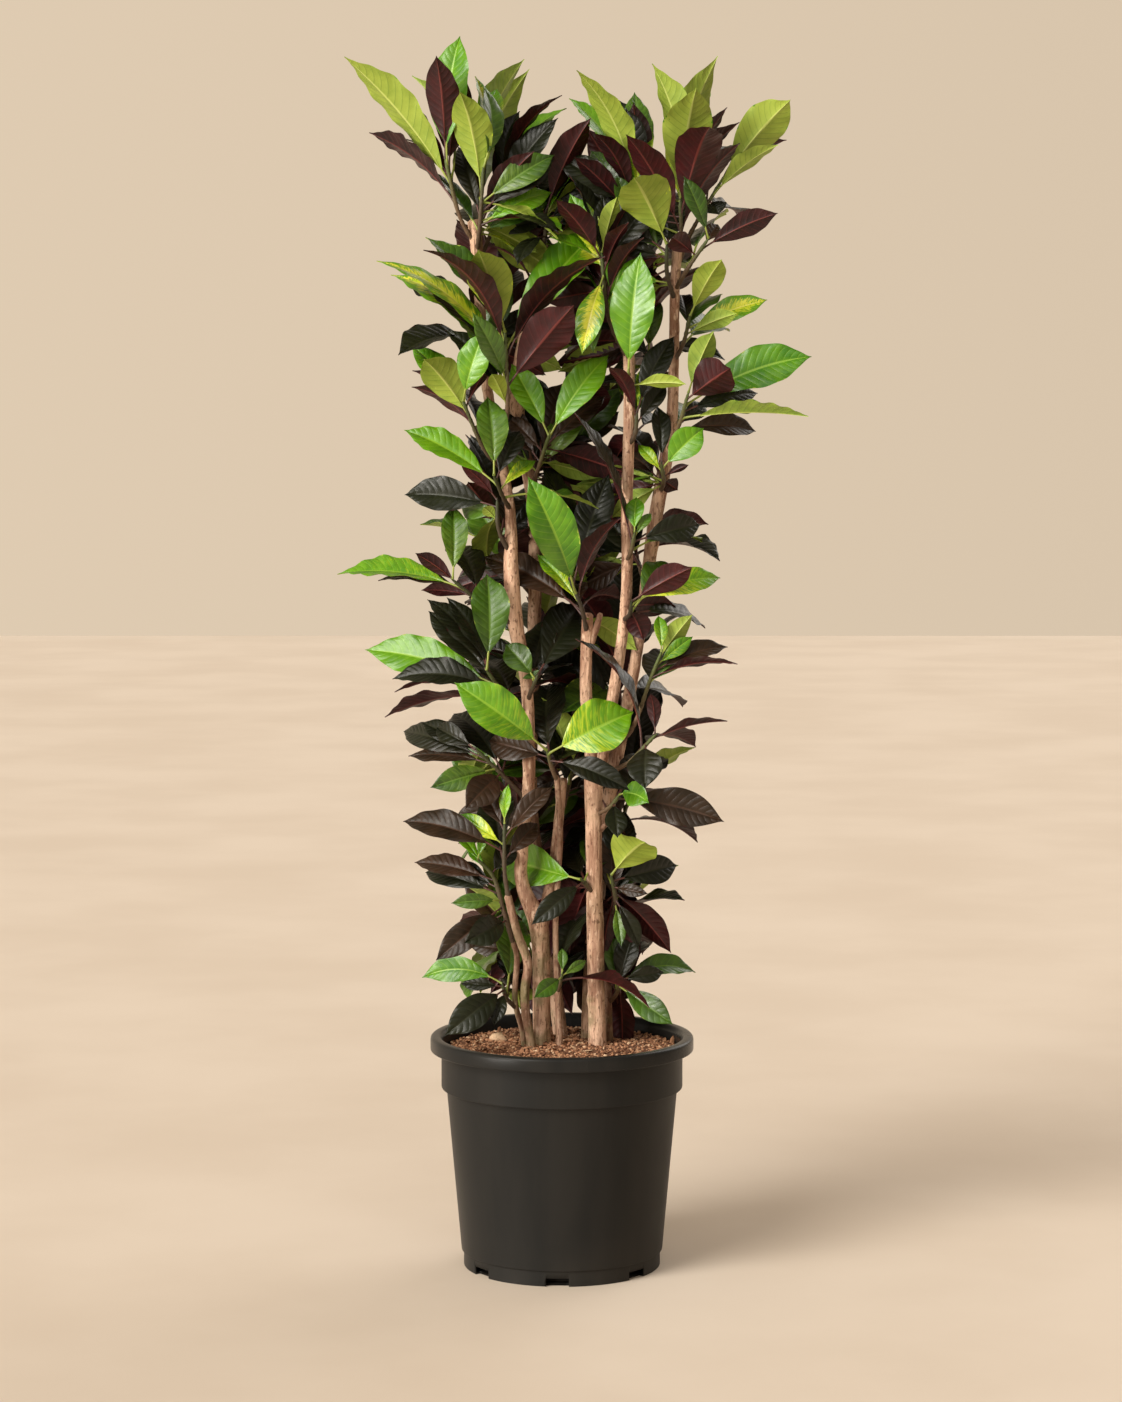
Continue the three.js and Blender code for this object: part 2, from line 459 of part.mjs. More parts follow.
function bladeRing(leaf, t, half, thick, lift, wave) {
  const at = leafFrame(leaf, t);
  return [at(0, thick), at(half, lift + wave), at(0, -thick), at(-half, lift - wave)];
}

function leafSolid(leaf, grow = 0) {
  const places = leaf.width < LEAF.broad ? LEAF.fewRings : LEAF.manyRings;
  const stem = LEAF.petiole + grow;
  const points = [...petioleRing(leaf, 0, stem), ...petioleRing(leaf, leaf.stalk, stem)];
  places.forEach((u, i) => {
    const half = (outline(u) * leaf.width) / 2;
    const wave = leaf.wave * half * (i % 2 ? -1 : 1);
    const t = leaf.stalk + u * (1 - leaf.stalk);
    points.push(...bladeRing(leaf, t, half + grow, LEAF.rib + grow, half * leaf.fold, wave));
  });
  points.push(leaf.curve.getPoint(1));
  // The root's cap, the petiole's sides, and where its three sides widen into the blade's four.
  const faces = [0, 2, 1, 0, 1, 4, 0, 4, 3, 1, 2, 5, 1, 5, 4, 2, 0, 3, 2, 3, 5,
    3, 4, 7, 3, 7, 6, 4, 5, 8, 4, 8, 7, 5, 3, 6, 5, 6, 9, 5, 9, 8];
  for (let r = 0; r < places.length - 1; r += 1) {
    for (let j = 0; j < 4; j += 1) {
      const [a, b] = [6 + r * 4 + j, 6 + r * 4 + ((j + 1) % 4)];
      // The margin's corner takes the diagonal, above and below alike.
      if (j % 2) faces.push(a, b, b + 4, a, b + 4, a + 4);
      else faces.push(a, b, a + 4, b, b + 4, a + 4);
    }
  }
  const last = points.length - 5;
  for (let j = 0; j < 4; j += 1) faces.push(last + j, last + ((j + 1) % 4), points.length - 1);
  const geometry = new THREE.BufferGeometry().setFromPoints(points);
  geometry.setIndex(faces);
  return solidOf(geometry);
}

// ---- shoots -------------------------------------------------------------------------------
function twigSolid(path, stems) {
  const end = path[path.length - 1];
  const ahead = end.clone().sub(path[path.length - 2]).normalize();
  const points = [...path.slice(0, -1), end.clone().addScaledVector(ahead, TWIG.bud)];
  const radii = points.map((_, i) => TWIG.base + ((TWIG.tip - TWIG.base) * i) / (points.length - 1));
  let solid = rod(points, radii, TWIG.sides);
  for (const stem of Object.values(stems)) solid = solid.subtract(stem.inflated);
  return solid.decompose().sort((a, b) => b.volume() - a.volume())[0];
}

// The point a given way back down the twig from its crown.
function rootOn(path, back) {
  let left = back;
  for (let i = path.length - 1; i > 0; i -= 1) {
    const span = path[i].distanceTo(path[i - 1]);
    if (left <= span) return path[i].clone().lerp(path[i - 1], left / span);
    left -= span;
  }
  return path[0].clone();
}

// The distance from one leaf's root to the next, which keeps them all clear of the stem.
function leafStep(path, count) {
  let length = 0;
  for (let i = 1; i < path.length; i += 1) length += path[i].distanceTo(path[i - 1]);
  return Math.min(LEAF.spacing, Math.min(TWIG.leafy, length - TWIG.bare) / count);
}

// Each shoot's twig from the stem's axis to its crown, the leaves that show, and how many more
// leaves stand behind them by rule.
function planShoots(stems) {
  const front = SHOOTS.map(({ on, from, path, leaves }) => ({
    path: [axisAt(stems[on], from, vec(path[0])), ...path.map(vec)],
    leaves,
    spares: (leaves.length < RULED.fullShoot) + (leaves.length < RULED.thinShoot),
    behind: false,
  }));
  const back = BACK_SHOOTS.map(([on, from, crown]) => {
    const start = axisAt(stems[on], from, vec(crown));
    const middle = start.clone().lerp(vec(crown), 0.6);
    middle.z -= RULED.sag;
    return { path: [start, middle, vec(crown)], leaves: [], spares: RULED.backLeaves, behind: true };
  });
  return [...front, ...back];
}

// The leaves that show go highest first down the twig.
function listedLeaves({ path, leaves, spares }, shoot) {
  const crown = path[path.length - 1];
  const step = leafStep(path, leaves.length + spares);
  const rise = ([x, z]) => Math.atan2(z - crown.z, Math.abs(x - crown.x) + 20);
  const order = leaves.map((_, i) => i).sort((i, j) => rise(leaves[j]) - rise(leaves[i]));
  return order.map((i, rank) => (bend) => seenLeaf(rootOn(path, rank * step), leaves[i], shoot, i, bend));
}

// The ruled leaves follow below them: to the back on a front shoot, all round on one behind.
function ruledLeaves({ path, leaves, spares, behind }, shoot) {
  const step = leafStep(path, leaves.length + spares);
  return Array.from({ length: spares }, (_, i) => {
    const index = RULED.firstIndex + i;
    const fan = RULED.fan * (i % 2 ? -1 : 1) * draw(shoot, index, 0);
    const azimuth = behind ? i * RULED.golden + 360 * draw(shoot, 0, 9) : 90 + fan;
    const share = (i + 0.5) / spares;
    const slope = RULED.top - RULED.fall * share + RULED.slopeSpread * (draw(shoot, index, 6) - 0.5);
    const length = RULED.length + RULED.lengthSpread * draw(shoot, index, 7);
    const root = rootOn(path, (leaves.length + i) * step);
    return (bend) => ruledLeaf(root, azimuth, slope, length, shoot, index, bend);
  });
}

function boxesMeet(a, b) {
  return [0, 1, 2].every((i) => a.min[i] <= b.max[i] && b.min[i] <= a.max[i]);
}

function cross(a, b) {
  return boxesMeet(a.box, b.box) && a.solid.intersect(b.solid).volume() > TOUCH;
}

// Every shoot as its list of solids: the twig, and each leaf at the bend that clears all other
// pieces and cuts least into its own shoot. A leaf that no bend clears is left out.
function growShoots(stems) {
  const taken = [];
  const take = (solid, shoot) => taken.push({ solid, box: solid.boundingBox(), shoot });
  for (const stem of Object.values(stems)) take(stem.inflated, -1);
  const plans = planShoots(stems);
  const shoots = plans.map(({ path }) => [twigSolid(path, stems)]);
  shoots.forEach(([twig], s) => take(twig, s));

  function seat(make, s) {
    let best = null;
    for (const bend of BENDS) {
      const leaf = make(bend);
      const wide = leafSolid(leaf, GAP);
      const trial = { solid: wide, box: wide.boundingBox() };
      if (taken.some((other) => other.shoot !== s && cross(trial, other))) continue;
      const solid = leafSolid(leaf);
      const near = taken.filter((other) => other.shoot === s && boxesMeet(trial.box, other.box));
      const cut = near.reduce((all, other) => all + solid.intersect(other.solid).volume(), 0);
      const cost = cut + Math.abs(bend) * BEND_COST;
      if (!best || cost < best.cost) best = { cost, solid };
    }
    if (!best) return;
    shoots[s].push(best.solid);
    take(best.solid, s);
  }
  for (const leavesOf of [listedLeaves, ruledLeaves]) {
    plans.forEach((plan, s) => leavesOf(plan, s).forEach((make) => seat(make, s)));
  }
  return shoots;
}

// ---- the plant ----------------------------------------------------------------------------
const FINISH = {
  pot: { color: 0x2b2a28, roughness: 0.45, metalness: 0 },
  soil: { color: 0x7a5236, roughness: 1, metalness: 0 },
  stem: { color: 0xa98a72, roughness: 0.85, metalness: 0 },
  shoot: { color: 0x4f7a2c, roughness: 0.4, metalness: 0 },
};

const group = new THREE.Group();
function place(name, solid, finish) {
  const mesh = new THREE.Mesh(geometryOf(solid), new THREE.MeshStandardMaterial(FINISH[finish]));
  mesh.name = name;
  group.add(mesh);
}

const stems = {};
for (const [name, limbs] of Object.entries(STEMS)) stems[name] = stemSolid(limbs);
place("pot", potSolid(), "pot");
place("potting_mix", soilSolid(stems), "soil");
for (const [name, stem] of Object.entries(stems)) place(name, stem.solid, "stem");
growShoots(stems).forEach((parts, s) => {
  const name = `leafy_shoot_${String(s + 1).padStart(2, "0")}`;
  place(name, parts.reduce((all, part) => all.add(part)), "shoot");
});

export default group;
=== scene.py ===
import math

import bpy
import numpy as np
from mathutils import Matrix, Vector, kdtree, noise
from mathutils.bvhtree import BVHTree


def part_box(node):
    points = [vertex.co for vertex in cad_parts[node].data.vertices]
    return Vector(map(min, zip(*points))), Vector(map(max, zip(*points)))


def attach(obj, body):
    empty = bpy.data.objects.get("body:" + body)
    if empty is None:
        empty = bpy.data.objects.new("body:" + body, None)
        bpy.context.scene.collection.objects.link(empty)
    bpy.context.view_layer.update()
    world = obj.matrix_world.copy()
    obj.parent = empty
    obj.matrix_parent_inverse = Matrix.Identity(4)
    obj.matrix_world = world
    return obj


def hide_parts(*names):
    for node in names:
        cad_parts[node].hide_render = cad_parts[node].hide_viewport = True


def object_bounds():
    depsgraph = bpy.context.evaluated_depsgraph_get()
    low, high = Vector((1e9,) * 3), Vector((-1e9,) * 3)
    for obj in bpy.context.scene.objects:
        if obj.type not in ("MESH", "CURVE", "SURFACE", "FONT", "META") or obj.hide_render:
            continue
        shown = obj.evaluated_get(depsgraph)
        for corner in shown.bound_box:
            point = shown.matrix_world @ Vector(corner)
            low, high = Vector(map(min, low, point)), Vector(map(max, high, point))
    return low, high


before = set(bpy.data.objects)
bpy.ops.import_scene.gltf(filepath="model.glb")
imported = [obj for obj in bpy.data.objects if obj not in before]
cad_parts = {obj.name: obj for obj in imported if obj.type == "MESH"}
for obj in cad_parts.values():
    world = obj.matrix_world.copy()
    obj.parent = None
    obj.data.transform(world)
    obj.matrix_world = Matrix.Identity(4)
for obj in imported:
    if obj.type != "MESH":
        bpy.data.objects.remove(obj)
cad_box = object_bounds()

# ==== The place it is seen from ============================================================
# A long lens 5.5 m in front of the plant and 1.37 m above the floor, tipped down by about
# five degrees. Everything below is laid out in millimetres and turned into metres at the end.
MM = 0.001
camera = bpy.data.objects.new("camera", bpy.data.cameras.new("camera"))
camera.data.lens = 91.68
camera.data.sensor_width = 36
camera.location = (-0.0015, -5.5, 1.372)
camera.rotation_euler = (math.radians(90 - 5.07), 0, 0)
bpy.context.scene.collection.objects.link(camera)
bpy.context.scene.camera = camera
bpy.context.scene.view_settings.view_transform = "Standard"


# ==== Nursery pot ==========================================================================
# One injection moulding in black polypropylene: a tapering wall on a recessed foot ring with
# drain notches, a wider band above a step, and a rim that turns down over it as a skirt. The
# mould leaves it satin, with faint flow marks up the wall and a shinier, handled rim.
foot_radius, foot_height = 153.6, 24
body_radius, wall, floor_thickness, floor_corner = 157, 3, 4, 4
step_radius, step_height = 180, 281
band_radius = 188
rim_radius, rim_height, rim_skirt, lip_radius, lip_depth = 205, 362, 22, 190, 8
notches, notch_width, notch_height, notch_depth, first_notch = 7, 35, 13, 10, -92.6
# How far in from the foot ring's face the notches' painted shade begins and is full.
notch_shade = 0.4, 1.6
dusty_height = 100
near_axis, POT_SIDES = 0.5, 168


def paint(red, green, blue):
    """A colour given as it shows on a screen, turned into the renderer's linear one."""
    shares = [value / 255 for value in (red, green, blue)]
    return (*[s / 12.92 if s <= 0.04045 else ((s + 0.055) / 1.055) ** 2.4 for s in shares], 1)


def new_finish(name, roughness, specular=0.5, coat=0.0, coat_roughness=0.1):
    """A material and its surface shader."""
    made = bpy.data.materials.new(name)
    made.use_nodes = True
    shader = made.node_tree.nodes["Principled BSDF"]
    shader.inputs["Roughness"].default_value = roughness
    shader.inputs["Specular IOR Level"].default_value = specular
    shader.inputs["Coat Weight"].default_value = coat
    shader.inputs["Coat Roughness"].default_value = coat_roughness
    return made, shader


def node(finish, kind, inputs, **settings):
    """Adds a shader node, with each input set to a value or joined to another node's output."""
    made = finish.node_tree.nodes.new("ShaderNode" + kind)
    for name, value in settings.items():
        setattr(made, name, value)
    for socket, value in inputs.items():
        if isinstance(value, bpy.types.NodeSocket):
            finish.node_tree.links.new(value, made.inputs[socket])
        else:
            made.inputs[socket].default_value = value
    return made


def blend(finish, share, first, second):
    """The first colour, going over to the second by a share from 0 to 1."""
    ends = [paint(*end) if isinstance(end, tuple) else end for end in (first, second)]
    return node(finish, "Mix", {0: share, 6: ends[0], 7: ends[1]}, data_type="RGBA").outputs[2]


def sums(finish, how, first, second=0.0, third=0.0):
    return node(finish, "Math", {0: first, 1: second, 2: third}, operation=how).outputs[0]


def times(finish, first, second):
    return sums(finish, "MULTIPLY", first, second)


def fade(finish, value, low, high, to_low=0.0, to_high=1.0, shape="SMOOTHSTEP"):
    """A value drawn out, from to_low at low to to_high at high, and no further."""
    sockets = "Value", "From Min", "From Max", "To Min", "To Max"
    inputs = dict(zip(sockets, (value, low, high, to_low, to_high)))
    return node(finish, "MapRange", inputs, interpolation_type=shape).outputs[0]


def place_in(finish):
    return node(finish, "TexCoord", {}).outputs["Object"]


def height_in(finish):
    """The height above the floor, in metres."""
    return node(finish, "SeparateXYZ", {0: place_in(finish)}).outputs[2]


def grain(finish, scale, detail=4.0, stretch=(1, 1, 1)):
    """Noise from 0 to 1, in spots of about 1/scale metres, drawn out by stretch."""
    spread = node(finish, "Mapping", {"Vector": place_in(finish), "Scale": stretch}).outputs[0]
    noisy = node(finish, "TexNoise", {"Vector": spread, "Scale": scale, "Detail": detail})
    return noisy.outputs["Fac"]


def join(finish, output, shader, socket):
    finish.node_tree.links.new(output, shader.inputs[socket])


def relief(finish, shader, height, depth, strength=1.0):
    """Roughens the surface by a height from 0 to 1, over a depth in metres."""
    bump = node(finish, "Bump", {"Height": height, "Distance": depth, "Strength": strength})
    join(finish, bump.outputs[0], shader, "Normal")


def colour_by(finish, shader, colour, *coats):
    """Gives the surface a colour, with each coat's colour over it by that coat's share."""
    for share, over in coats:
        colour = blend(finish, share, colour, over)
    join(finish, colour, shader, "Base Color")


def rounded(corners, steps=4):
    """An outline through (radius, height, rounding) corners, with each one rounded off."""
    spots = [np.array(c[:2], float) for c in corners]
    outline = [spots[0]]
    for before, corner, after, (*_, size) in zip(spots, spots[1:], spots[2:], corners[1:-1]):
        start = corner + (before - corner) / np.linalg.norm(before - corner) * size
        end = corner + (after - corner) / np.linalg.norm(after - corner) * size
        for t in np.linspace(0, 1, steps):
            outline.append((1 - t) ** 2 * start + 2 * t * (1 - t) * corner + t ** 2 * end)
    return [*outline, spots[-1]]


def rings(rows):
    """Points and faces of a closed skin over rows of points, each row going once round."""
    count, around = len(rows), len(rows[0])
    index = np.arange(count * around).reshape(count, around)
    low, high = index[:-1], index[1:]
    quads = np.stack([low, np.roll(low, -1, 1), np.roll(high, -1, 1), high], -1).reshape(-1, 4)
    ends = [index[0][::-1].tolist(), index[-1].tolist()]
    return np.concatenate(rows), [tuple(face) for face in quads.tolist() + ends]


def angles_round(sides):
    return np.arange(sides) * 2 * math.pi / sides


def ring(radius, height, sides):
    """Points evenly spaced round +Z."""
    turn = angles_round(sides)
    return np.stack([radius * np.cos(turn), radius * np.sin(turn), np.full(sides, height)], 1)


def make_piece(name, parts, finishes, sharp=40):
    """One object from parts, each with points in millimetres, faces, and for every face the number
    of its finish; a part may carry texture coordinates and three marks for each point."""
    points = np.concatenate([part["points"] for part in parts])
    faces, chosen, base = [], [], 0
    for part in parts:
        faces.extend(tuple(i + base for i in face) for face in part["faces"])
        finish = part.get("finish", 0)
        chosen.extend([finish] * len(part["faces"]) if isinstance(finish, int) else finish)
        base += len(part["points"])
    mesh = bpy.data.meshes.new(name)
    mesh.from_pydata((points * MM).tolist(), [], faces)
    for finish in finishes:
        mesh.materials.append(finish)
    mesh.polygons.foreach_set("material_index", chosen)
    if "uv" in parts[0]:
        flat = np.concatenate([part["uv"] for part in parts])
        corner = np.empty(len(mesh.loops), int)
        mesh.loops.foreach_get("vertex_index", corner)
        mesh.uv_layers.new(name="UVMap").data.foreach_set("uv", flat[corner].ravel())
    if "marks" in parts[0]:
        marks = np.concatenate([part["marks"] for part in parts])
        layer = mesh.color_attributes.new("marks", "FLOAT_COLOR", "POINT")
        layer.data.foreach_set("color", np.insert(marks, 3, 1, axis=1).ravel())
    mesh.shade_smooth()
    mesh.set_sharp_from_angle(angle=math.radians(sharp))
    piece = bpy.data.objects.new(name, mesh)
    bpy.context.scene.collection.objects.link(piece)
    return piece


def pot_finish():
    finish, shader = new_finish("black_pot_plastic", 0.4, specular=0.13)
    flow = grain(finish, 9, 6, (2.2, 2.2, 0.25))
    cloud = grain(finish, 5, 5)
    # A little dust clings to the lower wall, and painted shade turns the notches and all inside the
    # foot ring near black.
    height = height_in(finish)
    low = fade(finish, height, dusty_height * MM, 0.0, 0.0, 0.12)
    dusty = times(finish, low, fade(finish, cloud, 0.4, 0.7))
    flat = node(finish, "VectorMath", {0: place_in(finish), 1: (1, 1, 0)}, operation="MULTIPLY")
    out = node(finish, "VectorMath", {0: flat.outputs[0]}, operation="LENGTH").outputs["Value"]
    # Painted shade: near black for everything inside the foot ring's face.
    inside = fade(finish, out, *[(foot_radius - inward) * MM for inward in notch_shade])
    colour_by(finish, shader, (33, 33, 32), (fade(finish, flow, 0.35, 0.7), (39, 38, 36)),
              (dusty, (96, 88, 78)), (inside, (10, 9, 8)))
    fine = grain(finish, 900, 2)
    rough = sums(finish, "ADD", fade(finish, cloud, 0.3, 0.7, 0.4, 0.48), dusty)
    skirt = (rim_height - rim_skirt) * MM
    handled = fade(finish, height, skirt - 0.004, skirt + 0.002, 0.0, 0.15)
    join(finish, sums(finish, "SUBTRACT", rough, handled), shader, "Roughness")
    relief(finish, shader, sums(finish, "MULTIPLY_ADD", flow, 3.0, fine), 0.00012, 0.6)
    return finish


corners = [
    (near_axis, 0, 0), (foot_radius, 0, 1.5), (foot_radius, foot_height, 1.2),
    (body_radius, foot_height, 2.2), (step_radius, step_height, 1.6),
    (band_radius, step_height, 2.2), (band_radius, rim_height - rim_skirt, 1),
    (rim_radius, rim_height - rim_skirt, 2.4), (rim_radius, rim_height, 6),
    (lip_radius, rim_height, 3), (band_radius - wall, rim_height - lip_depth, 3),
    (step_radius - wall, step_height - wall, 3),
    (body_radius - wall - floor_corner, floor_thickness, 3), (near_axis, floor_thickness, 0),
]
points, faces = rings([ring(radius, height, POT_SIDES) for radius, height in rounded(corners)])
pot = make_piece("nursery_pot", [{"points": points, "faces": faces}], [pot_finish()], sharp=50)

# The notches are cut by one set of blocks, which is then removed.
blocks = []
for i in range(notches):
    turn = math.radians(first_notch + i * 360 / notches)
    ahead = np.array([math.cos(turn), math.sin(turn)])
    across = np.array([-math.sin(turn), math.cos(turn)])
    corner_spots = []
    for height in (-5, notch_height):
        for out, side in ((-1, -1), (1, -1), (1, 1), (-1, 1)):
            spot = ahead * (foot_radius + out * notch_depth) + across * side * notch_width / 2
            corner_spots.append([*spot, height])
    box_faces = [(3, 2, 1, 0), (4, 5, 6, 7), (0, 1, 5, 4), (1, 2, 6, 5), (2, 3, 7, 6), (3, 0, 4, 7)]
    blocks.append({"points": np.array(corner_spots), "faces": box_faces})
cutter = make_piece("notch_blocks", blocks, [])
cut = pot.modifiers.new("notches", "BOOLEAN")
cut.object = cutter
cut.operation = "DIFFERENCE"
cut.solver = "EXACT"
bpy.context.view_layer.update()
cut_mesh = bpy.data.meshes.new_from_object(pot.evaluated_get(bpy.context.evaluated_depsgraph_get()))
pot.modifiers.clear()
pot.data = cut_mesh
bpy.data.objects.remove(cutter)
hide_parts("pot")
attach(pot, "root")


# ==== Potting mix ==========================================================================
# Coarse coir and composted bark, filled to two centimetres under the rim. The surface is all
# loose crumbs and chips of 3 to 10 mm, reddish brown with paler bits, and one large tan chip.
mix_radius, mix_height, mix_crown = 180, 343, 7
CRUMBS, LONG_CHIPS = 4600, 150
MIX_SIDES, MIX_ROWS = 72, 26


def fixed_draw(seed):
    return np.random.Generator(np.random.PCG64(seed))


def mix_level(x, y):
    """The height of the surface under the crumbs."""
    share = np.hypot(x, y) / mix_radius
    lumps = 2.2 * np.sin(x * 0.06 + 1) * np.cos(y * 0.05) + 1.2 * np.sin(x * 0.19 + y * 0.13)
    return mix_height - 2.5 + mix_crown * (1 - share ** 2) + lumps * (1 - share ** 4)


def turned(spots, turn, tip, roll):
    """Each set of points turned about its middle, by three angles."""
    for angle, (a, b) in ((roll, (1, 2)), (tip, (0, 2)), (turn, (0, 1))):
        c, s = np.cos(angle)[:, None], np.sin(angle)[:, None]
        first, second = spots[..., a].copy(), spots[..., b].copy()
        spots[..., a], spots[..., b] = c * first - s * second, s * first + c * second
    return spots


def marks_in(finish):
    """The three marks that each point of the piece carries."""
    marks = node(finish, "VertexColor", {}, layer_name="marks").outputs[0]
    return node(finish, "SeparateColor", {0: marks}).outputs


def crumb_finish():
    finish, shader = new_finish("coir_and_bark", 0.92, specular=0.25)
    shade = marks_in(finish)[0]
    spots = grain(finish, 420, 5)
    colour_by(
        finish, shader, (92, 60, 43),
        (fade(finish, shade, 0.0, 0.4), (176, 126, 94)),
        (fade(finish, shade, 0.4, 0.75), (188, 140, 106)),
        (fade(finish, shade, 0.8, 1.0), (226, 192, 156)),
        (fade(finish, spots, 0.55, 0.75, 0, 0.6), (88, 56, 38)),
        # Painted shade: the mix turns near black low down, where it shows through the drain
        # notches.
        (fade(finish, height_in(finish), 0.2, 0.05), (20, 17, 15)),
    )
    relief(finish, shader, grain(finish, 700, 6, (1, 1, 0.4)), 0.0008)
    return finish


def crumbs(draws, count, sizes, flat, long):
    """Rough lumps scattered over the mix, from a 12-cornered ball pulled out of shape."""
    gold = (1 + 5 ** 0.5) / 2
    ball = np.array([(-1, gold, 0), (1, gold, 0), (-1, -gold, 0), (1, -gold, 0),
                     (0, -1, gold), (0, 1, gold), (0, -1, -gold), (0, 1, -gold),
                     (gold, 0, -1), (gold, 0, 1), (-gold, 0, -1), (-gold, 0, 1)])
    skin = [(0, 11, 5), (0, 5, 1), (0, 1, 7), (0, 7, 10), (0, 10, 11), (1, 5, 9), (5, 11, 4),
            (11, 10, 2), (10, 7, 6), (7, 1, 8), (3, 9, 4), (3, 4, 2), (3, 2, 6), (3, 6, 8),
            (3, 8, 9), (4, 9, 5), (2, 4, 11), (6, 2, 10), (8, 6, 7), (9, 8, 1)]
    size = draws.uniform(*sizes, count)
    spots = ball[None] / 1.9 * draws.uniform(0.6, 1.25, (count, 12, 3))
    spots[..., 0] *= draws.uniform(*long, count)[:, None]
    spots[..., 2] *= draws.uniform(*flat, count)[:, None]
    turn, tip = draws.uniform(0, 6.28, count), draws.normal(0, 0.35, count)
    spots = turned(spots, turn, tip, draws.normal(0, 0.35, count))
    spots *= size[:, None, None] / 2
    reach = (mix_radius - 1) * np.sqrt(draws.uniform(0, 1, count))
    turn = draws.uniform(0, 2 * math.pi, count)
    x, y = reach * np.cos(turn), reach * np.sin(turn)
    spots += np.stack([x, y, mix_level(x, y) + size * draws.uniform(0.0, 0.3, count)], 1)[:, None]
    far = np.hypot(spots[..., 0], spots[..., 1])
    spots[..., :2] *= np.minimum(1, (band_radius - wall - 1) / far)[..., None]
    faces = [tuple(i + 12 * n for i in face) for n in range(count) for face in skin]
    marks = np.repeat(np.stack([draws.uniform(0, 1, count)] * 3, 1), 12, 0)
    return {"points": spots.reshape(-1, 3), "faces": faces, "marks": marks}


rows = [ring(foot_radius * 0.9 * share, floor_thickness + 1.0, MIX_SIDES) for share in (0.004, 1)]
for share in np.linspace(1, 0.004, MIX_ROWS):
    row = ring(mix_radius * share, 0.0, MIX_SIDES)
    row[:, 2] = mix_level(row[:, 0], row[:, 1])
    rows.append(row)
points, faces = rings(rows)
body = {"points": points, "faces": faces, "marks": np.full((len(points), 3), 0.12)}
draws = fixed_draw(7)
scatter = crumbs(draws, CRUMBS, (2, 6.5), (0.4, 0.9), (0.8, 1.5))
chips = crumbs(draws, LONG_CHIPS, (5, 10), (0.18, 0.4), (1.6, 2.8))
big_chip = crumbs(draws, 1, (27, 27), (0.8, 0.8), (1.25, 1.25))
big_chip["points"] += np.array([-102, 36, mix_level(-102, 36) + 5]) - big_chip["points"].mean(0)
big_chip["marks"][:] = 1
mix = make_piece("potting_mix_crumbs", [body, scatter, chips, big_chip], [crumb_finish()], sharp=70)
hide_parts("potting_mix")
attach(mix, "root")


# ==== Woody stems ==========================================================================
# Eight trunks planted together in the mix, two of them forked. The bark is thin, pinkish brown
# and finely fissured, with pale oval leaf scars, knots where twigs broke off, a little green
# algae low down, and flat pruning cuts at the top. Each row is x, y, z and thickness.
rooted = 280
STEMS = {
  "stem_main_left": [
    [[-30, 10, rooted, 29], [-32, 10, 420, 28], [-33, 8, 500, 29], [-38, 5, 540, 31],
      [-62, 0, 600, 21], [-62, -3, 660, 20], [-51, -5, 770, 19], [-56, -5, 920, 19],
      [-71, -3, 1000, 24], [-78, -2, 1080, 24], [-80, 0, 1180, 16], [-98, 2, 1280, 16],
      [-117, 3, 1380, 16], [-129, 2, 1560, 18], [-134, 0, 1623, 22]],
    [[-34, 6, 515, 22], [-14, 26, 620, 17], [2, 44, 760, 14]],
  ],
  "stem_main_right": [
    [[57, 0, rooted, 32], [54, 0, 400, 27], [52, 0, 500, 27], [49, 0, 700, 26], [49, 0, 750, 30],
      [44, 5, 820, 20], [37, 10, 900, 19], [40, 12, 1020, 18]],
    [[49, 0, 735, 24], [62, -5, 790, 19], [80, -12, 900, 18], [98, -14, 1035, 17],
      [100, -10, 1190, 18], [103, -8, 1370, 17], [98, -4, 1500, 16], [96, 0, 1620, 15]],
    [[38, 12, 950, 12], [60, 8, 1020, 9]],
    [[49, 0, 680, 10], [68, -4, 692, 7]],
  ],
  "stem_back_right": [
    [[40, 55, rooted, 27], [50, 70, 500, 26], [70, 80, 700, 24], [100, 70, 860, 20],
      [116, 55, 950, 18], [144, 35, 1160, 22], [156, 25, 1230, 22], [169, 15, 1320, 18],
      [172, 10, 1420, 16], [173, 5, 1520, 15], [177, 0, 1584, 16]],
  ],
  "stem_back_left": [
    [[6, 80, rooted, 24], [-24, 88, 520, 22], [-48, 98, 700, 21], [-46, 100, 900, 21],
      [-44, 80, 1180, 22], [-70, 48, 1340, 24], [-62, 42, 1410, 24], [-35, 52, 1560, 17],
      [-28, 52, 1590, 15]],
  ],
  "stem_front_left": [
    [[-46, -30, rooted, 15], [-48, -30, 355, 14], [-56, -34, 400, 14], [-57, -36, 440, 14],
      [-53, -38, 480, 14], [-69, -46, 530, 13], [-84, -55, 590, 12]],
  ],
  "stem_far_left": [
    [[-57, -8, rooted, 10], [-60, -10, 360, 9], [-73, -20, 420, 9], [-70, -22, 490, 9],
      [-76, -25, 512, 9]],
  ],
  "stem_right": [
    [[77, 30, rooted, 12], [74, 32, 370, 11], [72, 35, 440, 11], [68, 38, 545, 11]],
  ],
  "stem_centre": [
    [[-3, -20, rooted, 11], [-4, -20, 370, 10], [-7, -15, 440, 10], [-10, -4, 530, 9],
      [-3, 3, 660, 9], [-3, 0, 690, 9], [-8, -20, 770, 9]],
  ],
}
BARK_SIDES, BARK_STEP = 26, 3.5
SCAR_SPACING, SCAR_SIZE, SCAR_EDGE, SCAR_DENT = 26, 6.5, 0.55, 0.5
KNOT_SPACING, KNOT_SIZE, KNOT_RISE = 190, (7, 9), 2.2
BUMPS, CRACKS = 0.5, 1.8
THIN_STEM, TALLEST_STEM = 7.8, 1650


def run_along(places, power=1):
    """How far along its line each place is, with each step raised to a power."""
    steps = np.linalg.norm(np.diff(places, axis=0), axis=1) ** power
    return np.concatenate([[0], np.cumsum(steps)])


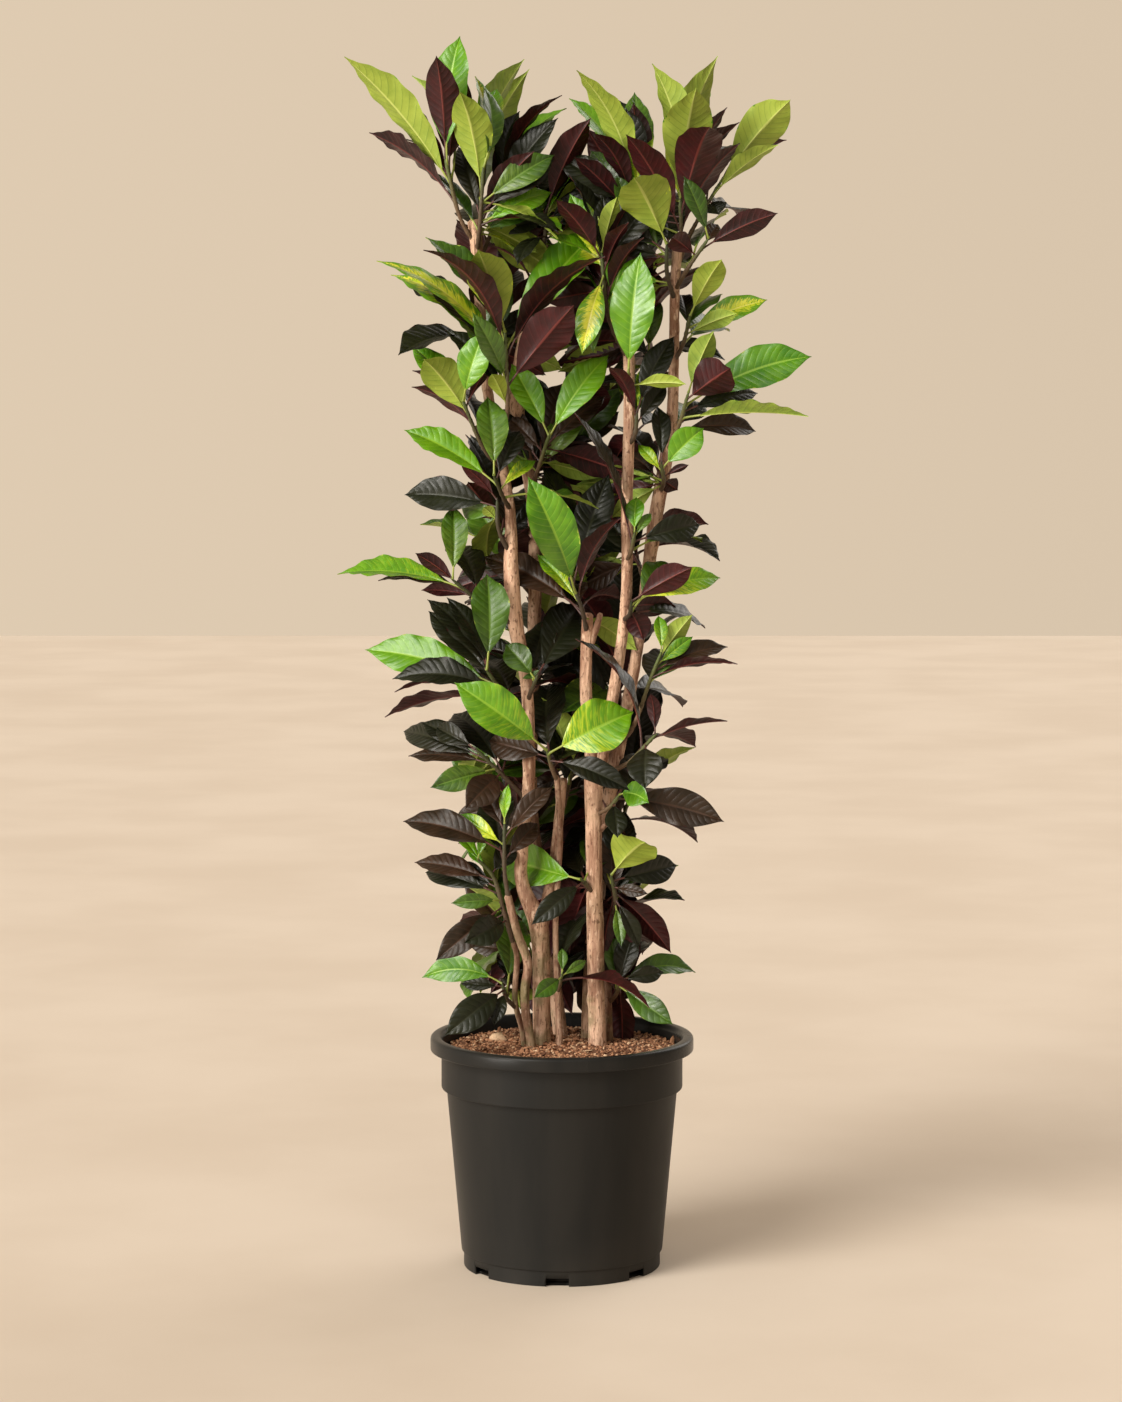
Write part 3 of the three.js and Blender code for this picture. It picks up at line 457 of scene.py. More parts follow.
def curve_through(points, step):
    """Places about a step apart on a smooth curve through rows that start with x, y and z."""
    p = np.array(points, float)
    p = np.vstack([2 * p[0] - p[1], p, 2 * p[-1] - p[-2]])
    pieces = []
    for i in range(1, len(p) - 2):
        four = p[i - 1:i + 3]
        t0, t1, t2, t3 = run_along(four[:, :3], 0.5)
        count = max(2, round(np.linalg.norm((four[2] - four[1])[:3]) / step))
        t = np.linspace(t1, t2, count, endpoint=False)[:, None]
        a = ((t1 - t) * four[0] + (t - t0) * four[1]) / (t1 - t0)
        b = ((t2 - t) * four[1] + (t - t1) * four[2]) / (t2 - t1)
        c = ((t3 - t) * four[2] + (t - t2) * four[3]) / (t3 - t2)
        d = ((t2 - t) * a + (t - t0) * b) / (t2 - t0)
        e = ((t3 - t) * b + (t - t1) * c) / (t3 - t1)
        pieces.append(((t2 - t) * d + (t - t1) * e) / (t2 - t1))
    return np.vstack([*pieces, p[-2:-1]])


def unit(rows):
    return rows / np.maximum(np.linalg.norm(rows, axis=-1, keepdims=True), 1e-9)


def directions(places):
    """Across and up at each place, turning no more than the curve does."""
    ahead = unit(np.gradient(places, axis=0))
    start = np.array([1.0, 0, 0]) if abs(ahead[0][0]) < 0.9 else np.array([0, 1.0, 0])
    side = [unit(start - start @ ahead[0] * ahead[0])]
    for along in ahead[1:]:
        side.append(unit(side[-1] - side[-1] @ along * along))
    return np.array(side), np.cross(ahead, side)


def tube_rows(places, radius, sides):
    """Rows of points round a curve, with a radius for each place or for each point."""
    side, up = directions(places)
    turn = angles_round(sides)[None, :, None]
    radius = np.broadcast_to(np.array(radius, float).reshape(len(places), -1), (len(places), sides))
    around = np.cos(turn) * side[:, None] + np.sin(turn) * up[:, None]
    return places[:, None] + around * radius[..., None]


def bark_limb(limb, seed):
    """One limb with its scars, knots and fissures, and marks for scar, height and a thin stem's
    painted shade.
    """
    draws = fixed_draw(seed)
    line = curve_through(limb, BARK_STEP)
    places, radius = line[:, :3], line[:, 3] / 2
    run = run_along(places)
    turn = angles_round(BARK_SIDES)
    height = np.zeros((len(places), BARK_SIDES))
    scarred = np.zeros_like(height)

    def distance(at, angle, wide, long):
        """How far every point is from a spot on the bark, in that spot's widths and lengths."""
        across = np.abs((turn - angle + math.pi) % (2 * math.pi) - math.pi)[None] * radius[:, None]
        return np.hypot(across / wide, (run[:, None] - at) / long)

    for _ in range(int(run[-1] / SCAR_SPACING)):
        at, angle = draws.uniform(0, run[-1]), draws.uniform(0, 2 * math.pi)
        size = SCAR_SIZE * draws.uniform(0.6, 1.25)
        off = distance(at, angle, size, size / 1.5)
        edge, dent = np.exp(-((off - 0.8) / 0.3) ** 2), np.exp(-(off / 0.5) ** 2)
        height += SCAR_EDGE * edge - SCAR_DENT * dent
        scarred = np.maximum(scarred, np.exp(-(off / 0.95) ** 4))
    for _ in range(max(1, int(run[-1] / KNOT_SPACING))):
        at, angle = draws.uniform(0, run[-1]), draws.uniform(0, 2 * math.pi)
        height += KNOT_RISE * np.exp(-distance(at, angle, *KNOT_SIZE) ** 2)
    for i, place in enumerate(places):
        for j, angle in enumerate(turn):
            spot = Vector((3 * math.cos(angle) + seed, 3 * math.sin(angle), run[i] / 45))
            cracked = max(0, noise.noise(spot * 2.3)) ** 2
            height[i, j] += BUMPS * noise.noise(spot) - CRACKS * cracked
    height[0] = 0
    height += 0.25
    end = np.clip((run[-1] - run) / 1.5, 0.55, 1)
    bare = radius * end * 0.97
    rough = bare[:, None] + height * np.minimum(1, radius / 8)[:, None]
    points, faces = rings(list(tube_rows(places, rough, BARK_SIDES)))
    share = np.broadcast_to((places[:, 2] / TALLEST_STEM)[:, None], height.shape)
    # A thin stem gets the whole of its painted shade.
    thin = np.full_like(height, 1.0 if radius.max() < THIN_STEM else 0.0)
    marks = np.stack([scarred, share, thin], -1).reshape(-1, 3)
    return {"points": points, "faces": faces, "marks": marks}


def bark_finish():
    finish, shader = new_finish("croton_bark", 0.82, specular=0.3)
    scar, share, thin = marks_in(finish)
    streak = grain(finish, 60, 6, (1, 1, 0.16))
    speck = grain(finish, 230, 5, (1, 1, 0.55))
    fissure = grain(finish, 300, 5, (1, 1, 0.09))
    flake = grain(finish, 150, 4, (1, 1, 0.35))
    patch = grain(finish, 22, 4)
    low = fade(finish, share, 0.36, 0.28)
    colour_by(
        finish, shader, (150, 112, 90),
        (fade(finish, streak, 0.38, 0.6), (216, 178, 150)),
        (fade(finish, patch, 0.5, 0.7, 0, 0.55), (168, 136, 112)),
        (fade(finish, flake, 0.56, 0.66, 0, 0.6), (232, 200, 172)),
        (fade(finish, fissure, 0.52, 0.66, 0, 0.7), (122, 84, 62)),
        (fade(finish, speck, 0.56, 0.66, 0, 0.7), (92, 58, 42)),
        (times(finish, scar, 0.6), (206, 174, 144)),
        # Thin stems carry painted shade, as they stand low in the plant's shadow, and algae grow
        # near the pot.
        (times(finish, thin, 0.5), (92, 64, 48)),
        (times(finish, low, fade(finish, patch, 0.45, 0.62, 0, 0.5)), (98, 104, 62)),
    )
    relief(finish, shader, sums(finish, "MULTIPLY_ADD", streak, 1.5, speck), 0.002, 0.9)
    return finish


bark = bark_finish()
for number, (name, limbs) in enumerate(STEMS.items()):
    parts = [bark_limb(limb, number * 10 + n) for n, limb in enumerate(limbs)]
    stem = make_piece(name + "_bark", parts, [bark], sharp=60)
    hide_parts(name)
    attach(stem, "root")


# ==== Leafy shoots =========================================================================
# Fifty thin twigs grow out of the stems, green to brown-black, with leathery leaves on petioles.
# A blade has a midrib that stands out below and is puffed up between 6 to 15 pairs of veins.
# Young leaves are green above and lime below, old ones nearly black above and maroon below.
TWIG_BASE, TWIG_TIP, TWIG_BUD, TWIG_LEAFY, TWIG_BARE, TWIG_STEP = 5.2, 3.8, 5, 120, 22, 4
LEAF_SPACING, LEAF_ARCH, LEAF_FOLD, LEAF_WAVE, LEAF_TWIST = 11, 0.2, 0.22, 0.07, 0.5
LEAF_RATIO, BROADEST_RATIO, SEEN_RATIO, LONGEST_BLADE, WIDE_LEAF = 0.44, 0.46, 0.396, 175, 71
PETIOLE_SHARE, SHORT_PETIOLE, LONG_PETIOLE = 0.17, 8, 32
PETIOLE_RADII = np.array([2.5, 2.0, 1.6, 1.5, 1.45, 1.5, 1.0])
VEIN_SPACING, FEWEST_VEINS, MOST_VEINS = 11, 6, 15
# The ways that a solid's leaf may have been swung to clear its neighbours, the most that a leaf
# may be longer than it looks, and how near a point has to be to a solid's corner to be one.
BENDS = [0, 14, -14, 28, -28, 42, -42, 58, -58, 76, -76, 96, -96, 118, -118, 142, -142]
STRETCH, SAME_SPOT = 1.35, 0.5
# Where each shoot stands on its stem, its twig's bends, and its leaves: tip x and z, the width
# that shows, and the look. F, G, D, Y and B show the upper face (fresh, green, dark, yellow,
# brown), and L, P and M the lower one. "to" is 1 for a leaf that leans to the back, "bow" lifts
# the middle, and "pale" is how much of a fresh leaf is streaked with yellow.
SHOOTS = [
    ("main_left", 1585, [[-154, -16, 1622], [-177, -28, 1712]],
     [[-328, 1864, 50, "L"], [-285, 1817, 20, "M"], [-245, 1749, 15, "D"], [-188, 1861, 52, "M"],
      [-150, 1844, 58, "M"], [-231, 1846, 16, "P", {"to": 1}],
      [-155, 1900, 61, "F", {"to": 1, "pale": 0}]]),
    ("main_left", 1570, [[-125, -28, 1612], [-119, -42, 1698]],
     [[-153, 1808, 60, "L"], [-177, 1774, 20, "B"], [-160, 1737, 40, "D"], [-100, 1827, 45, "F"],
      [-133, 1842, 30, "Y"], [-59, 1877, 25, "P", {"to": 1}], [-51, 1865, 46, "L", {"to": 1}],
      [-119, 1822, 30, "G"], [-42, 1723, 40, "M"], [-204, 1699, 18, "G"]]),
    ("main_left", 1555, [[-108, 24, 1607], [-90, 46, 1680]],
     [[-6, 1777, 45, "D"], [7, 1796, 25, "F"], [0, 1810, 20, "M", {"to": 1}],
      [-65, 1792, 30, "D"], [23, 1703, 36, "D"], [-30, 1734, 30, "L"], [-56, 1669, 16, "Y"],
      [-34, 1643, 50, "Y"], [-88, 1640, 32, "G"]]),
    ("main_left", 1280, [[-84, -46, 1325], [-86, -72, 1450]],
     [[-207, 1594, 45, "G"], [-282, 1559, 25, "Y"], [-264, 1540, 35, "Y"], [-203, 1568, 25, "M"],
      [-211, 1524, 35, "D"], [-148, 1565, 30, "D"], [-124, 1570, 68, "L"],
      [64, 1615, 60, "F", {"pale": 0.2}], [64, 1562, 35, "M"], [18, 1490, 70, "M"],
      [-166, 1476, 30, "G"], [-178, 1455, 35, "D"],
      [-135, 1480, 35, "G"], [-105, 1387, 27, "L"]]),
    ("main_left", 1240, [[-120, -35, 1275], [-150, -60, 1346]],
     [[-232, 1431, 35, "F", {"pale": 0.35}], [-208, 1410, 60, "L"], [-229, 1393, 18, "M"],
      [-229, 1368, 24, "M"], [-92, 1418, 20, "M"], [-116, 1453, 50, "F"]]),
    ("main_left", 1180, [[-92, -45, 1205], [-103, -75, 1233]],
     [[-242, 1302, 40, "F", {"bow": 10, "pale": 0.35}], [-114, 1353, 50, "G"], [-65, 1300, 40, "D"],
      [-40, 1255, 20, "F"]]),
    ("main_left", 1110, [[-97, -22, 1150], [-99, -30, 1195]],
     [[-243, 1202, 56, "D", {"bow": 8}], [-155, 1252, 23, "M"], [-155, 1183, 36, "G"],
      [-120, 1185, 20, "P"]]),
    ("main_left", 1000, [[-112, -22, 1028], [-167, -46, 1074]],
     [[-168, 1186, 42, "G"], [-348, 1079, 30, "F", {"bow": 14, "pale": 0.5}], [-284, 1070, 14, "B"],
      [-216, 1057, 24, "M"], [-224, 1115, 26, "M"]]),
    ("main_left", 865, [[-82, -35, 890], [-115, -60, 936]],
     [[-116, 1081, 60, "G"], [-307, 960, 58, "F", {"bow": 12, "pale": 0.1}], [-208, 1041, 40, "D"],
      [-207, 1022, 45, "D"], [-177, 1046, 30, "D"], [-261, 920, 38, "D"], [-258, 900, 20, "M"],
      [-277, 854, 20, "M"], [-160, 923, 20, "B"]]),
    ("main_left", 880, [[-46, -22, 905], [-38, -30, 925]],
     [[29, 1025, 75, "D"], [-87, 972, 42, "G"], [-50, 930, 28, "G"]]),
    ("centre", 762, [[-16, -34, 785], [-23, -48, 812]],
     [[-164, 919, 70, "F", {"pale": 0.5}], [110, 870, 84, "F", {"pale": 0.7}],
      [-114, 820, 46, "B"], [104, 754, 34, "D"]]),
    ("main_left", 730, [[-86, -15, 764], [-132, -28, 812]],
     [[-250, 826, 40, "D"], [-239, 796, 20, "B"], [-219, 845, 30, "D"], [-195, 840, 35, "D"],
      [-202, 756, 40, "G"], [-148, 726, 50, "B"]]),
    ("front_left", 580, [[-88, -61, 625], [-88, -66, 700]],
     [[-158, 711, 28, "F"], [-82, 760, 18, "F"], [-14, 755, 30, "B"], [-130, 760, 40, "B"],
      [-246, 698, 42, "B"], [-38, 695, 34, "B"]]),
    ("far_left", 505, [[-90, -28, 560], [-107, -32, 616], [-130, -40, 642]],
     [[-168, 682, 18, "F"], [-116, 690, 16, "F"], [-147, 658, 16, "F"], [-230, 629, 30, "B"],
      [-214, 610, 34, "D"], [-168, 625, 35, "D"], [-171, 576, 24, "G"], [-150, 520, 45, "D"],
      [-75, 660, 35, "D"], [-155, 510, 30, "M"], [-194, 490, 45, "B"]]),
    ("main_right", 580, [[38, -22, 600], [30, -34, 610]],
     [[-99, 626, 70, "F", {"pale": 0}], [-47, 547, 36, "D"]]),
    ("far_left", 405, [[-86, -30, 425], [-92, -36, 448]],
     [[-218, 452, 40, "F", {"bow": 18, "pale": 0.3}], [-157, 445, 20, "D"], [-180, 378, 50, "D"],
      [-105, 388, 25, "D"]]),
    ("centre", 432, [[-3, -28, 448], [0, -34, 462]],
     [[38, 480, 16, "G"], [0, 500, 16, "G"], [-43, 433, 28, "G"]]),
    ("right", 535, [[83, 10, 565], [76, -14, 614]],
     [[127, 675, 75, "L"], [180, 622, 46, "D"], [133, 588, 20, "B"], [172, 480, 42, "M"],
      [92, 504, 20, "G"], [120, 500, 25, "D"]]),
    ("right", 405, [[86, 22, 424], [90, 12, 446]],
     [[211, 447, 30, "G", {"bow": 18}], [159, 455, 28, "D"], [172, 383, 40, "G"]]),
    ("main_right", 705, [[74, -24, 722], [88, -34, 742]],
     [[249, 703, 58, "B", {"bow": 8}], [133, 734, 40, "F", {"bow": 8, "pale": 0}],
      [85, 680, 35, "D"]]),
    ("main_right", 1010, [[104, -44, 1022], [106, -62, 1042]],
     [[197, 1097, 46, "M"], [244, 1075, 40, "F"], [125, 980, 40, "M"], [177, 1030, 40, "M"]]),
    ("main_right", 800, [[104, -30, 838], [136, -44, 922], [152, -52, 963]],
     [[200, 1020, 34, "P"], [148, 1018, 22, "F"], [201, 986, 24, "F"], [256, 968, 28, "B"],
      [266, 950, 15, "M"], [190, 946, 15, "G"]]),
    ("main_right", 770, [[100, -46, 792], [142, -74, 838]],
     [[135, 904, 23, "M"], [252, 861, 12, "M"], [126, 761, 55, "D"]]),
    ("main_right", 1100, [[106, -36, 1118], [111, -52, 1146]],
     [[114, 1199, 30, "F"], [137, 1175, 16, "G"], [213, 1156, 45, "D"]]),
    ("back_right", 1205, [[156, -8, 1225], [152, -26, 1250]],
     [[217, 1305, 48, "F", {"pale": 0.3}], [147, 1338, 31, "D"], [117, 1279, 20, "F"],
      [179, 1209, 28, "M"], [194, 1249, 12, "M"]]),
    ("main_right", 1275, [[112, -26, 1298], [114, -34, 1328]],
     [[69, 1398, 20, "M"], [188, 1422, 20, "F"], [172, 1445, 40, "D"], [160, 1372, 30, "D"]]),
    ("main_right", 1345, [[104, -50, 1362], [100, -72, 1385]],
     [[95, 1529, 63, "F", {"pale": 0}], [119, 1570, 70, "F", {"to": 1, "pale": 0.1}],
      [187, 1372, 20, "L"]]),
    ("back_right", 1265, [[178, -18, 1306], [192, -46, 1358]],
     [[253, 1396, 65, "M"], [382, 1414, 62, "F", {"bow": 14, "pale": 0}], [302, 1358, 36, "D"],
      [371, 1324, 15, "P", {"bow": 8}], [300, 1299, 34, "B"], [220, 1340, 30, "D"],
      [229, 1452, 40, "P"]]),
    ("back_right", 1405, [[186, -8, 1435], [195, -16, 1475]],
     [[315, 1501, 36, "Y", {"bow": 4}], [241, 1559, 46, "L"], [266, 1479, 30, "P"],
      [185, 1510, 30, "D"]]),
    ("back_right", 1560, [[181, -10, 1600], [180, -18, 1653]],
     [[200, 1812, 75, "L"], [240, 1876, 55, "L", {"to": 1}], [137, 1857, 43, "L"],
      [237, 1850, 37, "F"], [218, 1750, 68, "M"], [96, 1746, 45, "M"], [250, 1790, 35, "M"],
      [272, 1772, 25, "M"], [269, 1735, 35, "M"]]),
    ("back_right", 1545, [[196, 14, 1600], [243, 26, 1680]],
     [[345, 1800, 66, "L"], [348, 1749, 20, "M"], [327, 1733, 26, "P"], [240, 1630, 38, "D"]]),
    ("back_right", 1515, [[190, -24, 1545], [222, -44, 1592]],
     [[327, 1630, 40, "M", {"bow": 6}], [238, 1615, 26, "B"], [184, 1685, 30, "G"],
      [166, 1593, 35, "M"]]),
    ("back_right", 1500, [[160, -28, 1540], [159, -46, 1583]],
     [[107, 1678, 80, "L"], [140, 1547, 18, "P"]]),
    ("main_right", 1590, [[104, 14, 1632], [118, 24, 1675]],
     [[22, 1842, 42, "L"], [11, 1810, 40, "F"], [98, 1795, 40, "D"], [107, 1748, 25, "Y"],
      [49, 1750, 30, "M"], [18, 1715, 30, "M"], [44, 1731, 40, "G"], [83, 1690, 30, "G"]]),
    ("back_left", 1560, [[-26, 36, 1600], [-25, 22, 1633]],
     [[44, 1776, 45, "M"], [43, 1655, 30, "D"], [-55, 1575, 35, "M"]]),
    ("main_right", 1410, [[72, -32, 1470], [60, -42, 1570]],
     [[83, 1654, 30, "L"], [32, 1580, 40, "Y"], [82, 1648, 26, "P"], [30, 1417, 43, "Y"],
      [48, 1420, 30, "G"]]),
    ("back_left", 1205, [[-34, 16, 1250], [-20, -14, 1293]],
     [[-78, 1403, 46, "F", {"pale": 0}], [72, 1417, 50, "F", {"pale": 0}],
      [-83, 1321, 30, "B"], [67, 1353, 36, "B"]]),
    ("main_right", 985, [[30, -16, 1030], [12, -30, 1072]],
     [[-52, 1233, 72, "F", {"pale": 0}], [-32, 1262, 45, "D", {"to": 1}], [-39, 1109, 26, "F"],
      [73, 1234, 56, "D"], [-125, 1103, 46, "B"], [90, 1170, 30, "M"]]),
]
# The shoots behind: stem, height on it, and the crown's place.
BACK_SHOOTS = [
  ["main_left", 690, [20, 120, 790]], ["back_right", 470, [90, 150, 540]],
  ["back_left", 450, [-100, 150, 520]], ["back_right", 640, [110, 170, 720]],
  ["back_left", 640, [-80, 190, 720]], ["back_right", 830, [90, 170, 930]],
  ["back_left", 860, [-30, 200, 960]], ["back_left", 1040, [-100, 170, 1130]],
  ["back_right", 1060, [110, 140, 1150]], ["back_left", 1200, [20, 170, 1290]],
  ["main_left", 1420, [-120, 110, 1470]], ["back_right", 1380, [110, 120, 1460]],
]


def draw(shoot, leaf, what):
    """A seeded draw from 0 to 1 for one leaf."""
    wave = math.sin(shoot * 12.9898 + leaf * 78.233 + what * 37.719) * 4375.8545
    return wave - math.floor(wave)


def shape_leaf(root, tip, side, width, petiole, bow, shoot, index, look):
    length = (tip - root).length
    up = side.cross((tip - root).normalized())
    arch = 0 if bow else LEAF_ARCH * length * (0.6 + draw(shoot, index, 1))
    control = root.lerp(tip, 0.5) + up * arch + Vector((0, 0, 2 * bow))
    return {
        "root": root, "control": control, "tip": tip,
        "side": side, "width": width, "stalk": petiole / length,
        "twist": (draw(shoot, index, 2) - 0.5) * LEAF_TWIST,
        "fold": LEAF_FOLD * (0.4 + 1.2 * draw(shoot, index, 3)),
        "wave": LEAF_WAVE * (-1 if draw(shoot, index, 4) < 0.5 else 1),
        "look": look, "draws": [draw(shoot, index, 10), draw(shoot, index, 11)],
    }


def square_to(side, along):
    return (side - along * side.dot(along)).normalized()


def seen_leaf(root, entry, shoot, index, bend):
    """A leaf in front: its depth and turn follow from how wide and how long it looks."""
    x, z, width, look, extra = [*entry, {}][:5]
    dx, dz = x - root.x, z - root.z
    flat = math.hypot(dx, dz)
    petiole = min(max(flat * PETIOLE_SHARE, SHORT_PETIOLE), LONG_PETIOLE)
    under = look in "LPM"
    toward = extra.get("to", -1 if under == (dz > 0) else 1)
    blade = max(flat - petiole, width / BROADEST_RATIO)
    reach = min(blade + petiole, flat * STRETCH)
    hidden = math.sqrt(max(0, reach * reach - flat * flat))
    depth = max(hidden, flat * (0.1 + 0.45 * draw(shoot, index, 8)))
    tip = Vector((x, root.y + toward * depth + bend, z))
    along = (tip - root).normalized()
    full = max(width, SEEN_RATIO * min(blade, LONGEST_BLADE))
    shown = min(width / full, 0.97)
    rest = math.sqrt(1 - shown * shown)
    choices = []
    for turn in (-1, 1):
        side = square_to(Vector((-dz / flat * shown, turn * rest, dx / flat * shown)), along)
        up = side.cross(along)
        flip = -1 if up.y * (1 if under else -1) < 0 else 1
        choices.append((up.z * flip, side * flip))
    side = choices[1][1] if choices[1][0] > choices[0][0] else choices[0][1]
    leaf = shape_leaf(root, tip, side, full, petiole, extra.get("bow", 0), shoot, index, look)
    leaf["draws"][1] = extra.get("pale", leaf["draws"][1])
    return leaf


def ruled_leaf(root, azimuth, slope, length, shoot, index, bend, look, ratio=LEAF_RATIO):
    """A leaf by azimuth, slope and length, with its blade nearly level across."""
    turn, rise = math.radians(azimuth + bend * 0.5), math.radians(slope)
    level = math.cos(rise)
    ahead = Vector((math.cos(turn) * 0.75 * level, math.sin(turn) * level, math.sin(rise)))
    tip = root + ahead * length + Vector((0, 0, bend * 0.5))
    along = (tip - root).normalized()
    tilt = (draw(shoot, index, 5) - 0.5) * 1.4
    side = square_to(Vector((-math.sin(turn), math.cos(turn), tilt)), along)
    side = side * (-1 if side.cross(along).z < 0 else 1)
    petiole = length * PETIOLE_SHARE
    width = ratio * (length - petiole)
    return shape_leaf(root, tip, side, width, petiole, 0, shoot, index, look)


def outline(u):
    """The blade's half width from its foot to its tip."""
    u = np.clip(u, 0, 1)
    return np.sin(math.pi * u ** 1.08).clip(0) ** (0.8 + 0.5 * u ** 5)


def along_leaf(leaf, t):
    """Place, across and up at every t from 0 at the root to 1 at the tip."""
    t = np.asarray(t, float)[..., None]
    root, control, tip = (np.array(leaf[key]) for key in ("root", "control", "tip"))
    place = (1 - t) ** 2 * root + 2 * t * (1 - t) * control + t ** 2 * tip
    ahead = unit(2 * (1 - t) * (control - root) + 2 * t * (tip - control))
    side = np.array(leaf["side"])
    side = unit(side - (ahead * side).sum(-1, keepdims=True) * ahead)
    turn = leaf["twist"] * (t - 0.3)
    side = side * np.cos(turn) + np.cross(ahead, side) * np.sin(turn)
    return place, side, np.cross(side, ahead)


def root_on(path, back):
    """The point a given way back down the twig from its crown."""
    for high, low in zip(path[::-1], path[-2::-1]):
        span = (high - low).length
        if back <= span:
            return high.lerp(low, back / span)
        back -= span
    return path[0].copy()


def path_length(path):
    return sum((b - a).length for a, b in zip(path, path[1:]))


def leaf_step(path, count):
    return min(LEAF_SPACING, min(TWIG_LEAFY, path_length(path) - TWIG_BARE) / count)


def axis_at(stem, height, near):
    """The stem's axis at a height, on the limb that comes nearest."""
    found = []
    for limb in STEMS["stem_" + stem]:
        for low, high in zip(limb, limb[1:]):
            if low[2] <= height <= high[2]:
                share = (height - low[2]) / (high[2] - low[2])
                found.append(Vector(low[:3]).lerp(Vector(high[:3]), share))
    return min(found, key=lambda spot: (spot - near).length)


def plan_shoots():
    plans = []
    for on, start, path, leaves in SHOOTS:
        spares = (len(leaves) < 10) + (len(leaves) < 5)
        bends = [Vector(spot) for spot in path]
        plans.append(([axis_at(on, start, bends[0]), *bends], leaves, spares, False))
    for on, start, crown in BACK_SHOOTS:
        low, high = axis_at(on, start, Vector(crown)), Vector(crown)
        middle = low.lerp(high, 0.6) - Vector((0, 0, 14))
        plans.append(([low, middle, high], [], 6, True))
    return plans


def shoot_leaves(plan, shoot):
    """How each leaf of a shoot is made for a given bend, first those that show."""
    path, leaves, spares, behind = plan
    crown = path[-1]
    step = leaf_step(path, len(leaves) + spares)
    steepness = [math.atan2(leaf[1] - crown.z, abs(leaf[0] - crown.x) + 20) for leaf in leaves]
    order = sorted(range(len(leaves)), key=lambda i: -steepness[i])
    for rank, i in enumerate(order):
        root = root_on(path, rank * step)
        yield lambda bend: seen_leaf(root, leaves[i], shoot, i, bend)
    for i in range(spares):
        index = 20 + i
        azimuth = 90 + 55 * (-1 if i % 2 else 1) * draw(shoot, index, 0)
        if behind:
            azimuth = i * 137.5 + 360 * draw(shoot, 0, 9)
        slope = 66 - 84 * (i + 0.5) / spares + 16 * (draw(shoot, index, 6) - 0.5)
        length = 160 + 45 * draw(shoot, index, 7)
        root = root_on(path, (len(leaves) + i) * step)
        look = "G" if draw(shoot, index, 13) < 0.2 else "D"
        yield lambda bend: ruled_leaf(root, azimuth, slope, length, shoot, index, bend, look)


def settled(make, corners):
    """The leaf at the bend that its solid has: its tip or its last margins are corners there."""
    for ends in (1, 2):
        for bend in BENDS:
            leaf = make(bend)
            spots = [leaf["tip"]]
            if ends == 2:
                u = 0.7 if leaf["width"] < WIDE_LEAF else 0.8
                place, side, up = along_leaf(leaf, leaf["stalk"] + u * (1 - leaf["stalk"]))
                half = math.sin(math.pi * u ** 1.05) ** 0.95 * leaf["width"] / 2
                wave = leaf["wave"] * half * (-1 if u == 0.7 else 1)
                spots = [place + s * side * half + up * (half * leaf["fold"] + s * wave)
                         for s in (1, -1)]
            if any(corners.find(Vector(spot))[2] < SAME_SPOT for spot in spots):
                return leaf
    return None


COLUMNS = np.array([-1, -0.9, -0.72, -0.5, -0.27, -0.08, 0, 0.08, 0.27, 0.5, 0.72, 0.9, 1])
KINDS = {"F": 0, "L": 0, "G": 2, "P": 2, "D": 4, "M": 4, "Y": 6, "B": 8}
PETIOLE, TWIG = 10, 11


